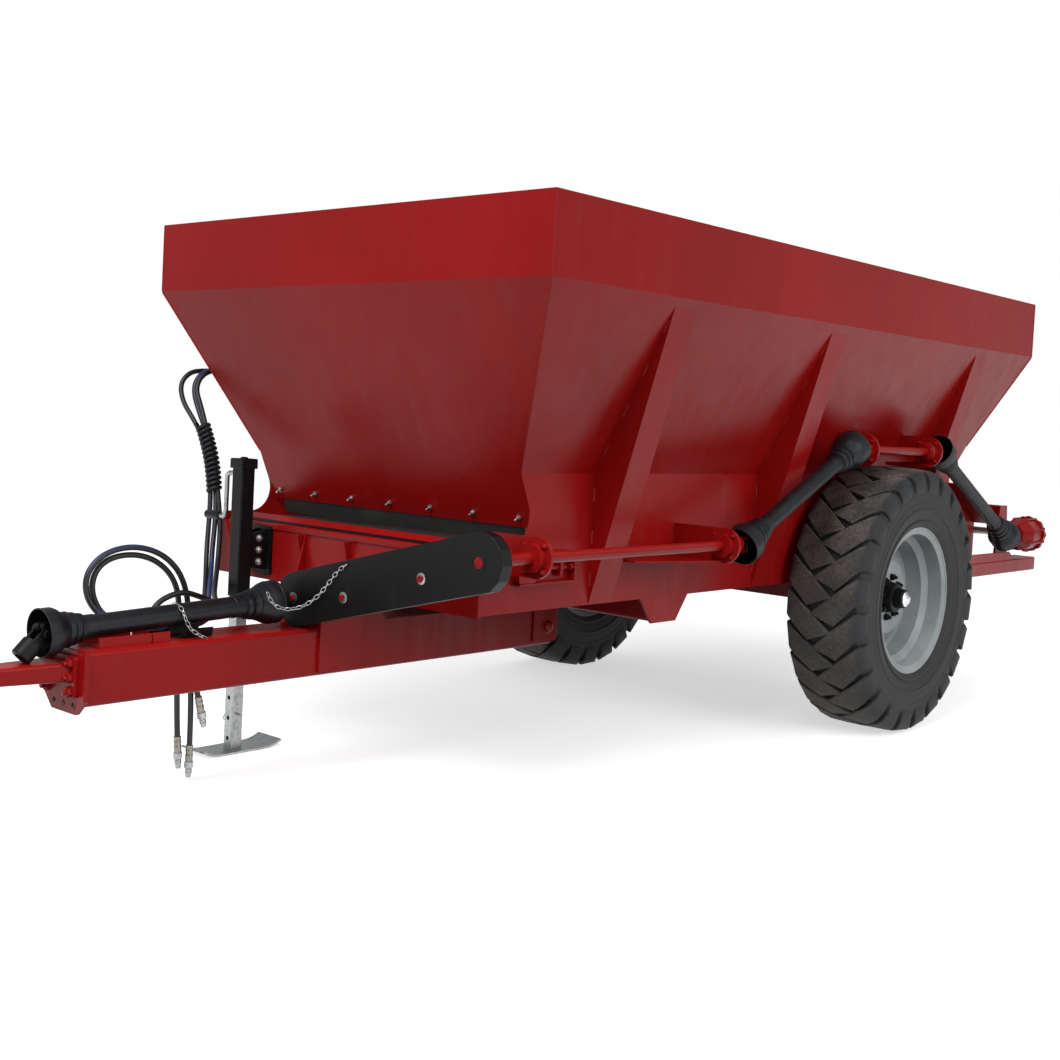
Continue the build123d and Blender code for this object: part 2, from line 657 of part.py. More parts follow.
# ---------------------------------------------------------------- parking jack
jack_x = axle_x + 2600
jack_y = -430.0
jack_tube_size = 62.0
jack_leg_size = 50.0
jack_gap = 0.5
jack_tube_low = 590.0
jack_tube_top = 1100.0
jack_plate_t = 12.0
with BuildPart() as jack_tube:
    with BuildSketch(Plane.XY.offset(jack_tube_low)):
        with Locations((jack_x, jack_y)):
            RectangleRounded(jack_tube_size, jack_tube_size, 6)
    extrude(amount=jack_tube_top - jack_tube_low)
    with BuildSketch(Plane.XY.offset(jack_tube_low)):
        with Locations((jack_x, jack_y)):
            Rectangle(jack_leg_size + 2 * jack_gap, jack_leg_size + 2 * jack_gap)
    extrude(amount=jack_tube_top - jack_tube_low - 12, mode=Mode.SUBTRACT)
    # cap over the screw
    with BuildSketch(Plane.XY.offset(jack_tube_top)):
        with Locations((jack_x, jack_y)):
            RectangleRounded(jack_tube_size + 10, jack_tube_size + 10, 8)
    extrude(amount=14)
    # mounting bracket to the cross panel: a bolted plate with two cheeks
    with BuildSketch(Plane.YZ.offset(panel_front)):
        with Locations((jack_y, 765)):
            Rectangle(110, 185)
    extrude(amount=jack_plate_t)
    for hand in (-1, 1):
        with BuildSketch(Plane.XZ.offset(-jack_y - hand * (jack_tube_size / 2 - 4))):
            outline(
                (panel_front + jack_plate_t, 690), (jack_x - jack_tube_size / 2, 700),
                (jack_x - jack_tube_size / 2, 830), (panel_front + jack_plate_t, 845),
            )
        extrude(amount=4, both=True)
jack_tube.part.label = "jack_tube"
export_step(jack_tube.part, "parts/jack_tube.step")

leg_top = 900.0
foot_t = 8.0
foot_flat = 200.0           # flat part of the foot, between its turned-up ends
foot_bend_r = 165.0         # radius of the turned-up ends
foot_bend = 30.0            # and how far they turn, in degrees
foot_w = 140.0
pin_hole_r = 8.5
pin_hole_pitch = 78.0
first_pin_hole_z = 46.0
with BuildPart() as jack_leg:
    with BuildSketch(Plane.XY.offset(foot_t)):
        with Locations((jack_x, jack_y)):
            RectangleRounded(jack_leg_size, jack_leg_size, 5)
    extrude(amount=leg_top - foot_t)
    # foot plate, bent up at both ends
    with BuildSketch(Plane.XZ.offset(-jack_y)):
        with BuildLine() as foot_section:
            for level in (0, foot_t):
                Line((jack_x - foot_flat / 2, level), (jack_x + foot_flat / 2, level))
            for hand in (-1, 1):
                bends = [
                    JernArc((jack_x + hand * foot_flat / 2, level), (hand, 0), foot_bend_r - level, hand * foot_bend)
                    for level in (0, foot_t)
                ]
                Line(bends[0] @ 1, bends[1] @ 1)
        make_face(foot_section.edges())
    extrude(amount=foot_w / 2, both=True)
    # row of pin holes through the leg, fore and aft
    with BuildSketch(Plane.YZ.offset(jack_x)):
        with Locations(*[(jack_y, first_pin_hole_z + i * pin_hole_pitch) for i in range(3)]):
            Circle(pin_hole_r)
    extrude(amount=jack_leg_size, both=True, mode=Mode.SUBTRACT)
jack_leg.part.label = "jack_leg"
export_step(jack_leg.part, "parts/jack_leg.step")

crank_r = 9.0
crank_y = jack_y - jack_tube_size / 2
with BuildPart() as jack_crank:
    with BuildLine():
        crank_path = FilletPolyline(
            (jack_x, crank_y, jack_tube_top - 45), (jack_x, crank_y - 70, jack_tube_top - 45),
            (jack_x, crank_y - 70, jack_tube_top - 215), (jack_x, crank_y - 190, jack_tube_top - 215),
            radius=22,
        )
    with BuildSketch(Plane(origin=(jack_x, crank_y, jack_tube_top - 45), z_dir=(0, -1, 0))):
        Circle(crank_r)
    sweep()
    with BuildSketch(Plane.XZ.offset(-crank_y + 110)):
        with Locations((jack_x, jack_tube_top - 215)):
            Circle(15)
    extrude(amount=80)
jack_crank.part.label = "jack_crank"
export_step(jack_crank.part, "parts/jack_crank.step")

# ---------------------------------------------------------------- drive line
yoke_r = 30.0
yoke_reach = 40.0           # joint centre to the fork's base
yoke_hub = 38.0             # length of the fork's hub
cross_r = 10.0
guard_t = 4.0
pin_gap = 0.3
ear_t = 11.0
ear_r = 18.0
across = (0, 1, 0)
upright = (0, 0, 1)
fork_droop = 45.0           # the tractor's fork hangs this far off the level until it is lifted
fork_dir = (cos(radians(fork_droop)), 0, -sin(radians(fork_droop)))


def yoke(joint_plane, bored=False):
    """Fork on a shaft that leaves the joint along the plane's normal, ears either side along its X."""
    with BuildSketch(joint_plane.offset(yoke_reach)) as hub:
        Circle(yoke_r)
    extrude(hub.sketch, amount=yoke_hub)
    ear_plane = Plane(joint_plane.origin, x_dir=joint_plane.z_dir, z_dir=joint_plane.x_dir)
    for hand in (-1, 1):
        with BuildSketch(ear_plane.offset(hand * (yoke_r - ear_t))) as ear:
            Circle(ear_r)
            Rectangle(yoke_reach + 2, 2 * ear_r - 2, align=(Align.MIN, Align.CENTER))
            if bored:
                Circle(cross_r + pin_gap, mode=Mode.SUBTRACT)
        extrude(ear.sketch, amount=hand * ear_t)


def joint_cross(origin, pin_dirs):
    """Cross of the two pins that join a pair of forks."""
    for pin_dir in pin_dirs:
        with BuildSketch(Plane(origin, z_dir=pin_dir)) as pin:
            Circle(cross_r)
        extrude(pin.sketch, amount=yoke_r, both=True)


def along(start, end):
    """Plane at start whose normal points to end, with its X level across the machine."""
    return Plane(start, x_dir=(0, 1, 0), z_dir=Vector(*end) - Vector(*start))


def bell_guard(start, end, tube_r, mouth_r, bell_long, ahead):
    """Guard tube with a bell over the joint at each end, turned about the line from start to end."""
    run = Vector(*end) - Vector(*start)
    bell = [(bell_long * 0.2, mouth_r), (bell_long * 0.65, mouth_r * 0.66), (bell_long, tube_r)]
    outside = [(-ahead, mouth_r)] + bell + [(run.length - t, r) for t, r in reversed(bell)]
    outside.append((run.length + mouth_reach, mouth_r))
    with BuildSketch(Plane(start, x_dir=run, z_dir=(0, -1, 0))) as section:
        outline(*outside, *[(t, r - guard_t) for t, r in reversed(outside)])
        # bearing rings that carry the guard on its shaft
        with Locations(*[(t, shaft_r + pin_gap) for t in (bell_long + 30, run.length - bell_long - 30)]):
            Rectangle(16, tube_r - guard_t / 2 - shaft_r - pin_gap, align=(Align.CENTER, Align.MIN))
    revolve(section.sketch, axis=Axis(start, run))


# Each shaft's joint centres, front and rear, its guard's tube and mouth radii, its bells' length,
# and how far the guard's front mouth reaches ahead of its joint
mouth_reach = 25.0
input_joint = (axle_x + 2800, 0, input_z)
front_joint = (drawbar_front + 95, 0, 600.0)
side_joint = (axle_x + 1250, side_y, side_z)
upper_joint = (axle_x + 430, side_y, upper_z)
upper_rear_joint = (axle_x - 430, side_y, upper_z)
gearbox_joint = (axle_x - 1290, side_y, gearbox_z)
power_shafts = (
    ("power_guard", "power_shaft", front_joint, input_joint, 36, 76, 130, 10),
    ("side_guard_front", "side_joint_shaft_front", side_joint, upper_joint, 34, 78, 140, mouth_reach),
    ("side_guard_rear", "side_joint_shaft_rear", upper_rear_joint, gearbox_joint, 34, 78, 140, mouth_reach),
)
for guard_name, shaft_name, front_end, rear_end, guard_r, bell_r, bell_len, ahead in power_shafts:
    with BuildPart() as guard:
        bell_guard(front_end, rear_end, guard_r, bell_r, bell_len, ahead)
    guard.part.label = guard_name
    export_step(guard.part, f"parts/{guard_name}.step")
    forward = along(front_end, rear_end)
    backward = along(rear_end, front_end)
    span = (Vector(*rear_end) - Vector(*front_end)).length
    with BuildPart() as joint_shaft:
        with BuildSketch(forward.offset(yoke_reach + yoke_hub)):
            Circle(shaft_r)
        extrude(amount=span - 2 * (yoke_reach + yoke_hub))
        # the power shaft's front fork stands upright, so that the tractor's fork tips on a level pin
        yoke(Plane(front_end, x_dir=upright, z_dir=forward.z_dir) if front_end == front_joint else forward)
        yoke(backward)
        joint_cross(front_end, (across, upright))
        joint_cross(rear_end, (across, upright))
    joint_shaft.part.label = shaft_name
    export_step(joint_shaft.part, f"parts/{shaft_name}.step")

# Fork at the tractor's end of the power shaft, with a splined bore
spline_r = 17.5
fork_hub_r = 33.0
fork_end = 90.0             # joint centre to the fork's open end
fork_plane = Plane(front_joint, x_dir=across, z_dir=fork_dir)
with BuildPart() as power_fork:
    yoke(fork_plane, bored=True)
    with BuildSketch(fork_plane.offset(yoke_reach + 4)):
        Circle(fork_hub_r)
    extrude(amount=fork_end - yoke_reach - 4)
    with BuildSketch(fork_plane.offset(yoke_reach)):
        Circle(spline_r)
    extrude(amount=fork_end - yoke_reach, mode=Mode.SUBTRACT)
power_fork.part.label = "power_fork"
export_step(power_fork.part, "parts/power_fork.step")

# Drive case: a chain in an upright black case from the power shaft up to the lower side shaft
case_t = 50.0
case_r = 95.0
case_back = sleeve_front + 10
with BuildPart() as drive_case:
    with BuildSketch(Plane.YZ.offset(case_back)):
        with Locations(Location((side_y / 2, (input_z + side_z) / 2, 0), degrees(atan2(side_z - input_z, side_y)))):
            SlotCenterToCenter(sqrt(side_y ** 2 + (side_z - input_z) ** 2) - 70, 2 * case_r)
        with Locations((0, input_z)):
            Circle(24, mode=Mode.SUBTRACT)
    extrude(amount=case_t)
drive_case.part.label = "drive_case"
export_step(drive_case.part, "parts/drive_case.step")

# Stub shaft and bearing housing behind the case, on the drawbar sleeve
with BuildPart() as input_shaft:
    with BuildSketch(Plane.YZ.offset(panel_front + 20)):
        with Locations((0, input_z)):
            Circle(shaft_r)
    extrude(amount=input_joint[0] - yoke_reach - yoke_hub - panel_front - 20)
    yoke(Plane(input_joint, x_dir=upright, z_dir=(-1, 0, 0)), bored=True)
input_shaft.part.label = "input_shaft"
export_step(input_shaft.part, "parts/input_shaft.step")

housing_r = 46.0
with BuildPart() as input_bearing:
    with BuildSketch(Plane.YZ.offset(panel_front + 40)):
        with Locations((0, input_z)):
            Circle(housing_r)
        with Locations((0, sleeve_step_z)):
            Rectangle(2 * (drawbar_half + sleeve_t), 12, align=(Align.CENTER, Align.MIN))
            Rectangle(2 * housing_r, input_z - sleeve_step_z, align=(Align.CENTER, Align.MIN))
        with Locations((0, input_z)):
            Circle(shaft_r + 0.3, mode=Mode.SUBTRACT)
    extrude(amount=sleeve_front - panel_front - 60)
input_bearing.part.label = "input_bearing"
export_step(input_bearing.part, "parts/input_bearing.step")

# Lower side shaft in two plate bearings
bracket_xs = (axle_x + 2470, axle_x + 1375)
plate_t = 12.0
plate_r = 68.0
shelf_long = 380.0
with BuildPart() as side_shaft:
    with BuildSketch(Plane.YZ.offset(side_joint[0] + yoke_reach + yoke_hub)):
        with Locations((side_y, side_z)):
            Circle(shaft_r)
    extrude(amount=case_back - side_joint[0] - yoke_reach - yoke_hub)
    yoke(Plane(side_joint, x_dir=upright, z_dir=(1, 0, 0)), bored=True)
side_shaft.part.label = "side_shaft"
export_step(side_shaft.part, "parts/side_shaft.step")

with BuildPart() as side_brackets:
    for plate_x, shelf_ahead in zip(bracket_xs, (-120, shelf_long)):
        with BuildSketch(Plane.YZ.offset(plate_x)):
            with Locations((side_y, side_z)):
                Circle(plate_r)
                Rectangle(side_y - channel_half, 2 * plate_r - 4, align=(Align.MAX, Align.CENTER))
                Circle(shaft_r + 0.3, mode=Mode.SUBTRACT)
        extrude(amount=plate_t)
        with BuildSketch(Plane.XY.offset(side_z - plate_r + 2)):
            outline(
                (plate_x, channel_half), (plate_x, side_y), (plate_x + shelf_ahead, channel_half + 90),
                (plate_x + shelf_ahead, channel_half),
            )
        extrude(amount=8)
        for bearing_x in (plate_x - 26, plate_x + plate_t):
            with BuildSketch(Plane.YZ.offset(bearing_x)):
                with Locations((side_y, side_z)):
                    Circle(46)
                    Circle(shaft_r + 0.3, mode=Mode.SUBTRACT)
            extrude(amount=26)
side_brackets.part.label = "side_brackets"
export_step(side_brackets.part, "parts/side_brackets.step")

# Upper side shaft over the wheel, in two round plates joined by an angle
upper_front_x = upper_joint[0] - yoke_reach - yoke_hub
upper_rear_x = upper_rear_joint[0] + yoke_reach + yoke_hub
upper_plate_r = 72.0
with BuildPart() as upper_shaft:
    with BuildSketch(Plane.YZ.offset(upper_rear_x)):
        with Locations((side_y, upper_z)):
            Circle(shaft_r)
    extrude(amount=upper_front_x - upper_rear_x)
    yoke(Plane(upper_joint, x_dir=upright, z_dir=(-1, 0, 0)), bored=True)
    yoke(Plane(upper_rear_joint, x_dir=upright, z_dir=(1, 0, 0)), bored=True)
upper_shaft.part.label = "upper_shaft"
export_step(upper_shaft.part, "parts/upper_shaft.step")

with BuildPart() as upper_bracket:
    for plate_x in (upper_rear_x + 30, upper_front_x - 30 - plate_t):
        with BuildSketch(Plane.YZ.offset(plate_x)):
            with Locations((side_y, upper_z)):
                Circle(upper_plate_r)
            outline(
                (side_y, upper_z - upper_plate_r), (side_y, upper_z + upper_plate_r),
                (side_wall_y(upper_z + upper_plate_r), upper_z + upper_plate_r),
                (side_wall_y(upper_z - upper_plate_r), upper_z - upper_plate_r),
            )
            with Locations((side_y, upper_z)):
                Circle(shaft_r + 0.3, mode=Mode.SUBTRACT)
        extrude(amount=plate_t)
    with BuildSketch(Plane.YZ.offset(upper_rear_x + 30)):
        folded_sheet([(side_y - 120, upper_z - 50), (side_y - 50, upper_z - 50), (side_y - 50, upper_z + 10)], 6, Side.LEFT)
    extrude(amount=upper_front_x - upper_rear_x - 60)
upper_bracket.part.label = "upper_bracket"
export_step(upper_bracket.part, "parts/upper_bracket.step")

# ---------------------------------------------------------------- rear arms, gearboxes and spinner discs
arm_low = 630.0
arm_high = 700.0
arm_w = 120.0
arm_gap = 109.0             # frame side to the rear arm
arm_y = channel_half + arm_gap + arm_w / 2
arm_front = axle_x - 700
arm_rear = axle_x - 1730
tie_xs = (axle_x - 780, axle_x - 1080)
with BuildPart() as rear_arms:
    for hand in (-1, 1):
        with BuildSketch(Plane.YZ.offset(arm_rear)):
            with Locations((hand * arm_y, (arm_low + arm_high) / 2)):
                RectangleRounded(arm_w, arm_high - arm_low, 8)
        extrude(amount=arm_front - arm_rear)
        for tie_x in tie_xs:
            with BuildSketch(Plane.XZ.offset(-hand * channel_half)):
                with Locations((tie_x, (arm_low + arm_high) / 2 + 3)):
                    RectangleRounded(60, 56, 6)
            extrude(amount=-hand * (arm_y - arm_w / 2 + 5 - channel_half))
rear_arms.part.label = "rear_arms"
export_step(rear_arms.part, "parts/rear_arms.step")

box_half = 85.0
beam_low = gearbox_z + box_half
beam_h = 60.0
upright_t = 12.0
with BuildPart() as spinner_beam:
    with BuildSketch(Plane.XZ):
        with Locations((disc_x, beam_low)):
            RectangleRounded(beam_h, beam_h, 6, align=(Align.CENTER, Align.MIN))
    extrude(amount=arm_y - arm_w / 2, both=True)
    for hand in (-1, 1):
        with BuildSketch(Plane.XZ.offset(-hand * (arm_y - arm_w / 2))):
            outline(
                (disc_x - 80, arm_high), (disc_x + 80, arm_high), (disc_x + 45, beam_low + beam_h),
                (disc_x - 45, beam_low + beam_h),
            )
            with Locations((disc_x, gearbox_z)):
                Circle(shaft_r + 6, mode=Mode.SUBTRACT)
        extrude(amount=-hand * upright_t)
spinner_beam.part.label = "spinner_beam"
export_step(spinner_beam.part, "parts/spinner_beam.step")

spindle_low = disc_z + disc_t + 62
with BuildPart() as disc_gearboxes:
    for hand in (-1, 1):
        with BuildSketch(Plane.XY.offset(gearbox_z - 60)):
            with Locations((disc_x, hand * disc_y)):
                RectangleRounded(140, 140, 24)
        extrude(amount=box_half + 60)
        with BuildSketch(Plane.XY.offset(spindle_low + 4)):
            with Locations((disc_x, hand * disc_y)):
                Circle(44)
        extrude(amount=gearbox_z - 60 - spindle_low - 4, taper=-8)
        with BuildSketch(Plane.XY.offset(disc_z - 10)):
            with Locations((disc_x, hand * disc_y)):
                Circle(18)
        extrude(amount=spindle_low + 20 - disc_z)
disc_gearboxes.part.label = "disc_gearboxes"
export_step(disc_gearboxes.part, "parts/disc_gearboxes.step")

with BuildPart() as side_gearbox:
    with BuildSketch(Plane.YZ.offset(disc_x - 85)):
        with Locations((side_y, gearbox_z)):
            RegularPolygon(98, 8)
    extrude(amount=26)
    with BuildSketch(Plane.YZ.offset(disc_x - 59)):
        with Locations((side_y, gearbox_z)):
            Circle(84)
    extrude(amount=110)
    with BuildSketch(Plane.YZ.offset(disc_x + 51)):
        with Locations((side_y, gearbox_z)):
            Circle(84)
    with BuildSketch(Plane.YZ.offset(disc_x + 120)):
        with Locations((side_y, gearbox_z)):
            Circle(52)
    loft()
    with BuildSketch(Plane.YZ.offset(disc_x + 120)):
        with Locations((side_y, gearbox_z)):
            Circle(shaft_r)
    extrude(amount=gearbox_joint[0] - yoke_reach - yoke_hub - disc_x - 120)
    yoke(Plane(gearbox_joint, x_dir=upright, z_dir=(-1, 0, 0)), bored=True)
    # output flange on the upright
    with BuildSketch(Plane.XZ.offset(-(arm_y - arm_w / 2 + upright_t))):
        with Locations((disc_x, gearbox_z)):
            Circle(60)
    extrude(amount=-60)
side_gearbox.part.label = "side_gearbox"
export_step(side_gearbox.part, "parts/side_gearbox.step")

with BuildPart() as cross_shaft:
    for low, high in ((-disc_y + 70, disc_y - 70), (disc_y + 70, arm_y - arm_w / 2 + upright_t)):
        with BuildSketch(Plane.XZ.offset(-low)):
            with Locations((disc_x, gearbox_z)):
                Circle(shaft_r)
        extrude(amount=-(high - low))
cross_shaft.part.label = "cross_shaft"
export_step(cross_shaft.part, "parts/cross_shaft.step")

vanes = 4
vane_h = 52.0
vane_t = 5.0
spinner_bore_gap = 0.4
with BuildPart() as spinner_left:
    with BuildSketch(Plane.XY.offset(disc_z)):
        with Locations((disc_x, disc_y)):
            Circle(disc_r)
    extrude(amount=disc_t)
    with BuildSketch(Plane.XY.offset(disc_z + disc_t)):
        with Locations((disc_x, disc_y)):
            Circle(58)
    extrude(amount=12)
    with BuildSketch(Plane.XY.offset(disc_z)):
        with Locations((disc_x, disc_y)):
            Circle(34)
    extrude(amount=spindle_low - disc_z)
    # channel vanes, swept back from the line of the radius
    with BuildSketch(Plane.XY.offset(disc_z + disc_t)):
        with Locations((disc_x, disc_y)):
            with PolarLocations(0, vanes):
                with Locations(Location((70, 18, 0), -14)):
                    Rectangle(disc_r - 76, vane_t, align=(Align.MIN, Align.CENTER))
    extrude(amount=vane_h)
    with BuildSketch(Plane.XY.offset(disc_z + disc_t + vane_h - vane_t)):
        with Locations((disc_x, disc_y)):
            with PolarLocations(0, vanes):
                with Locations(Location((70, 18, 0), -14)):
                    Rectangle(disc_r - 76, 26, align=(Align.MIN, Align.MIN))
    extrude(amount=vane_t)
    with BuildSketch(Plane.XY.offset(disc_z)):
        with Locations((disc_x, disc_y)):
            Circle(18 + spinner_bore_gap)
    extrude(amount=spindle_low - disc_z, mode=Mode.SUBTRACT)
spinner_left.part.label = "spinner_left"
export_step(spinner_left.part, "parts/spinner_left.step")

with BuildPart() as spinner_right:
    mirror(spinner_left.part, about=Plane.XZ)
spinner_right.part.label = "spinner_right"
export_step(spinner_right.part, "parts/spinner_right.step")

# Scraper under the rear roller that wipes the belt's return run
with BuildPart() as belt_scraper:
    with BuildSketch(Plane.XZ):
        folded_sheet(
            [(rear_roller_x + 60, roller_z - roller_r - belt_t - 2), (rear_roller_x + 20, frame_low + 50),
             (rear_roller_x - 20, frame_low + 50)],
            4, Side.LEFT,
        )
    extrude(amount=wall_inner, both=True)
belt_scraper.part.label = "belt_scraper"
export_step(belt_scraper.part, "parts/belt_scraper.step")

# ---------------------------------------------------------------- hydraulic hoses
# Valve block on the hopper's right slope; its three ports face forward
hose_r = 10.0
port_r = 12.0
port_long = 30.0
port_pitch = 25.0
port_z = 1450.0
block_front = axle_x + 2330
block_long = 90.0
block_h = 80.0
block_in = -side_wall_y(port_z + block_h / 2) - 10
block_w = 92.2
block_out = block_in - block_w
block_mid = (block_in + block_out) / 2
port_ys = (block_mid, block_mid - port_pitch, block_mid + port_pitch)
with BuildPart() as valve_block:
    with BuildSketch(Plane.XY.offset(port_z - block_h / 2)):
        outline(
            (block_front, block_out), (block_front, block_in), (block_front - block_long, block_in),
            (block_front - block_long, block_out),
        )
    extrude(amount=block_h)
    # plate between the block and the slope
    with BuildSketch(Plane.YZ.offset(block_front - block_long)):
        outline(
            (-side_wall_y(port_z - block_h), port_z - block_h), (-side_wall_y(port_z + block_h), port_z + block_h),
            (block_in, port_z + block_h / 2), (block_in, port_z - block_h / 2),
        )
    extrude(amount=block_long)
    for port_y in port_ys:
        with BuildSketch(Plane.YZ.offset(block_front)):
            with Locations((port_y, port_z)):
                Circle(port_r)
        extrude(amount=port_long)
valve_block.part.label = "valve_block"
export_step(valve_block.part, "parts/valve_block.step")

# Routes from the ports down the front, forward on the drawbar, over in a loop and down to the couplers
port_x = block_front + port_long
hose_routes = {
    "hose_one": (
        (port_x, port_ys[0], port_z), (1286, port_ys[0], port_z),
        (1328, -949, 1431), (1356, -944, 1394), (1367, -930, 1346), (1366, -894, 1280),
        (1362, -842, 1196), (1366, -781, 1082), (1380, -736, 960), (1400, -706, 840),
        (1428, -680, 738), (1468, -626, 656), (1538, -536, 604), (1626, -418, 576), (1718, -282, 568),
        (1800, -162, 576), (1884, -86, 569), (1980, -62, 558), (2086, -65, 560), (2178, -88, 571),
        (2250, -134, 604), (2290, -162, 664), (2296, -168, 734), (2256, -170, 792), (2184, -172, 824),
        (2096, -172, 828), (2010, -171, 802), (1944, -170, 750), (1906, -169, 682), (1890, -168, 600),
        (1882, -166, 500), (1876, -162, 390), (1873, -158, 280), (1872, -156, 180), (1873, -155, 98),
    ),
    "hose_two": (
        (port_x, port_ys[1], port_z), (1300, port_ys[1], port_z),
        (1360, -984, 1436), (1400, -984, 1386), (1404, -958, 1314), (1390, -916, 1244),
        (1378, -858, 1168), (1383, -802, 1074), (1397, -757, 957), (1416, -726, 838),
        (1443, -696, 731), (1482, -640, 645), (1550, -548, 588), (1638, -430, 558), (1732, -296, 550),
        (1822, -180, 558), (1906, -113, 570), (2000, -89, 558), (2091, -94, 560), (2168, -115, 577),
        (2233, -153, 606), (2263, -171, 665), (2266, -176, 722), (2238, -180, 770), (2183, -183, 797),
        (2104, -181, 802), (2030, -180, 781), (1969, -180, 737), (1934, -177, 678), (1922, -177, 600),
        (1918, -179, 500), (1919, -182, 390), (1915, -180, 290), (1913, -177, 206), (1908, -176, 130),
    ),
    "hose_three": (
        (port_x, port_ys[2], port_z), (1284, port_ys[2], port_z),
        (1326, -924, 1433), (1357, -920, 1402), (1372, -907, 1360), (1368, -875, 1299),
        (1348, -821, 1198), (1350, -764, 1082), (1364, -719, 962), (1384, -688, 842),
        (1410, -661, 748), (1452, -610, 676), (1524, -520, 630), (1612, -404, 606), (1700, -274, 606),
        (1780, -176, 618), (1858, -138, 646), (1944, -130, 674), (2026, -132, 652), (2064, -134, 612),
        (2074, -136, 558), (2054, -138, 507), (2006, -140, 471), (1950, -142, 432), (1900, -141, 390),
        (1866, -138, 334), (1852, -134, 270),
    ),
}
coupler_long = (82.0, 82.0, 80.0)
with BuildPart() as hose_couplers:
    for (name, route), long in zip(hose_routes.items(), coupler_long):
        coupler_plane = Plane(route[-1], z_dir=Vector(*route[-1]) - Vector(*route[-2]))
        for rise, radius, length in ((0, 13, 26), (26, 17, 22), (48, 12, long - 48)):
            with BuildSketch(coupler_plane.offset(rise)):
                Circle(radius)
            extrude(amount=length)
hose_couplers.part.label = "hose_couplers"
export_step(hose_couplers.part, "parts/hose_couplers.step")

for name, route in hose_routes.items():
    bends = []
    for before, corner, after in zip(route, route[1:], route[2:]):
        coming = Vector(*corner) - Vector(*before)
        going = Vector(*after) - Vector(*corner)
        bends.append(0.45 * min(coming.length, going.length) / tan(radians(coming.get_angle(going) / 2)))
    with BuildPart() as hose:
        with BuildLine() as path:
            FilletPolyline(*route, radius=bends)
        with BuildSketch(Plane(route[0], z_dir=Vector(*route[1]) - Vector(*route[0]))):
            Circle(hose_r)
        sweep()
    hose.part.label = name
    export_step(hose.part, f"parts/{name}.step")
    tightest = min(bends) / (2 * hose_r)
    length = sum(edge.length for edge in path.line.edges())
    print(name, f"length {length:.0f} mm, tightest bend {tightest:.1f} diameters")
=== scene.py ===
import math

import bpy
from mathutils import Matrix, Vector


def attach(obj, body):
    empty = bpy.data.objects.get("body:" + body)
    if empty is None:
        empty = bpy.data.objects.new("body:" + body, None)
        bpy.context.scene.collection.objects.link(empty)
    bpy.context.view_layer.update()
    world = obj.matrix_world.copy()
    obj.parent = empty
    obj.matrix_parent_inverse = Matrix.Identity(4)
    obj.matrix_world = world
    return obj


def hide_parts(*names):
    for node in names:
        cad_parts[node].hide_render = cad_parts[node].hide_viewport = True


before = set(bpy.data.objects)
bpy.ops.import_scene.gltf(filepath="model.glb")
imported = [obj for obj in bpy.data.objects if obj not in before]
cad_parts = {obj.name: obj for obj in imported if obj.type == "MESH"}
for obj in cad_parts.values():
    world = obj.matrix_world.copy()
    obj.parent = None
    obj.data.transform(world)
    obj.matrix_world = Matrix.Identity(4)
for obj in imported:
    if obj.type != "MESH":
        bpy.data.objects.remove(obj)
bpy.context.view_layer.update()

# Camera: ahead of the machine on its left, at chest height, looking back along
# the hopper's side with a slight tilt.
yaw, pitch, roll = (math.radians(angle) for angle in (222.257, -2.471, 2.887))
ahead = Vector((math.cos(yaw) * math.cos(pitch), math.sin(yaw) * math.cos(pitch), math.sin(pitch)))
level_right = Vector((math.sin(yaw), -math.cos(yaw), 0))
level_up = level_right.cross(ahead)
right = math.cos(roll) * level_right + math.sin(roll) * level_up
up = math.cos(roll) * level_up - math.sin(roll) * level_right
bpy.ops.object.camera_add(location=(4.6666, 3.7532, 1.3259))
camera = bpy.context.object
camera.rotation_euler = Matrix((right, up, -ahead)).transposed().to_euler()
camera.data.sensor_width = 36
camera.data.lens = 46.36
camera.data.shift_x, camera.data.shift_y = 0.0327, -0.0528
camera.data.clip_end = 200
bpy.context.scene.camera = camera


# Hydraulic hoses: two-wire rubber hose, 20 mm over its cover. They leave the valve block's
# three ports, run down the front and along the drawbar, loop over it and hang to their couplers.
def linear(code):
    """Linear colour, with alpha, of an sRGB hex code."""
    parts = [int(code[i:i + 2], 16) / 255 for i in (1, 3, 5)]
    return [p / 12.92 if p <= 0.04045 else ((p + 0.055) / 1.055) ** 2.4 for p in parts] + [1]


def add_node(material, kind, settings):
    """Adds a node: a setting is a link from a socket, a socket's value, an operation or a colour ramp."""
    tree = material.node_tree
    node = tree.nodes.new(kind)
    if "operation" in settings:
        node.operation = settings["operation"]
    for name, value in settings.items():
        if isinstance(value, bpy.types.NodeSocket):
            tree.links.new(value, node.inputs[name])
        elif isinstance(name, int) or name in node.inputs:
            node.inputs[name].default_value = value
        elif name == "ramp":
            points = node.color_ramp.elements
            while len(points) < len(value):
                points.new(0.5)
            for point, (place, colour) in zip(points, value):
                point.position, point.color = place, linear(colour)
    return node


def new_finish(name, slot, roughness, metallic=0.0, **more):
    """Material for one of the record's slots, with its Principled shader's values."""
    material = bpy.data.materials.new(name)
    material.use_nodes = True
    material["slot"] = slot
    shader = material.node_tree.nodes["Principled BSDF"]
    shader.inputs["Roughness"].default_value = roughness
    shader.inputs["Metallic"].default_value = metallic
    for socket, value in more.items():
        shader.inputs[socket.replace("_", " ")].default_value = value
    return material


def feed(material, socket, name):
    """Links a node's output to one of the Principled shader's sockets."""
    material.node_tree.links.new(socket, material.node_tree.nodes["Principled BSDF"].inputs[name])


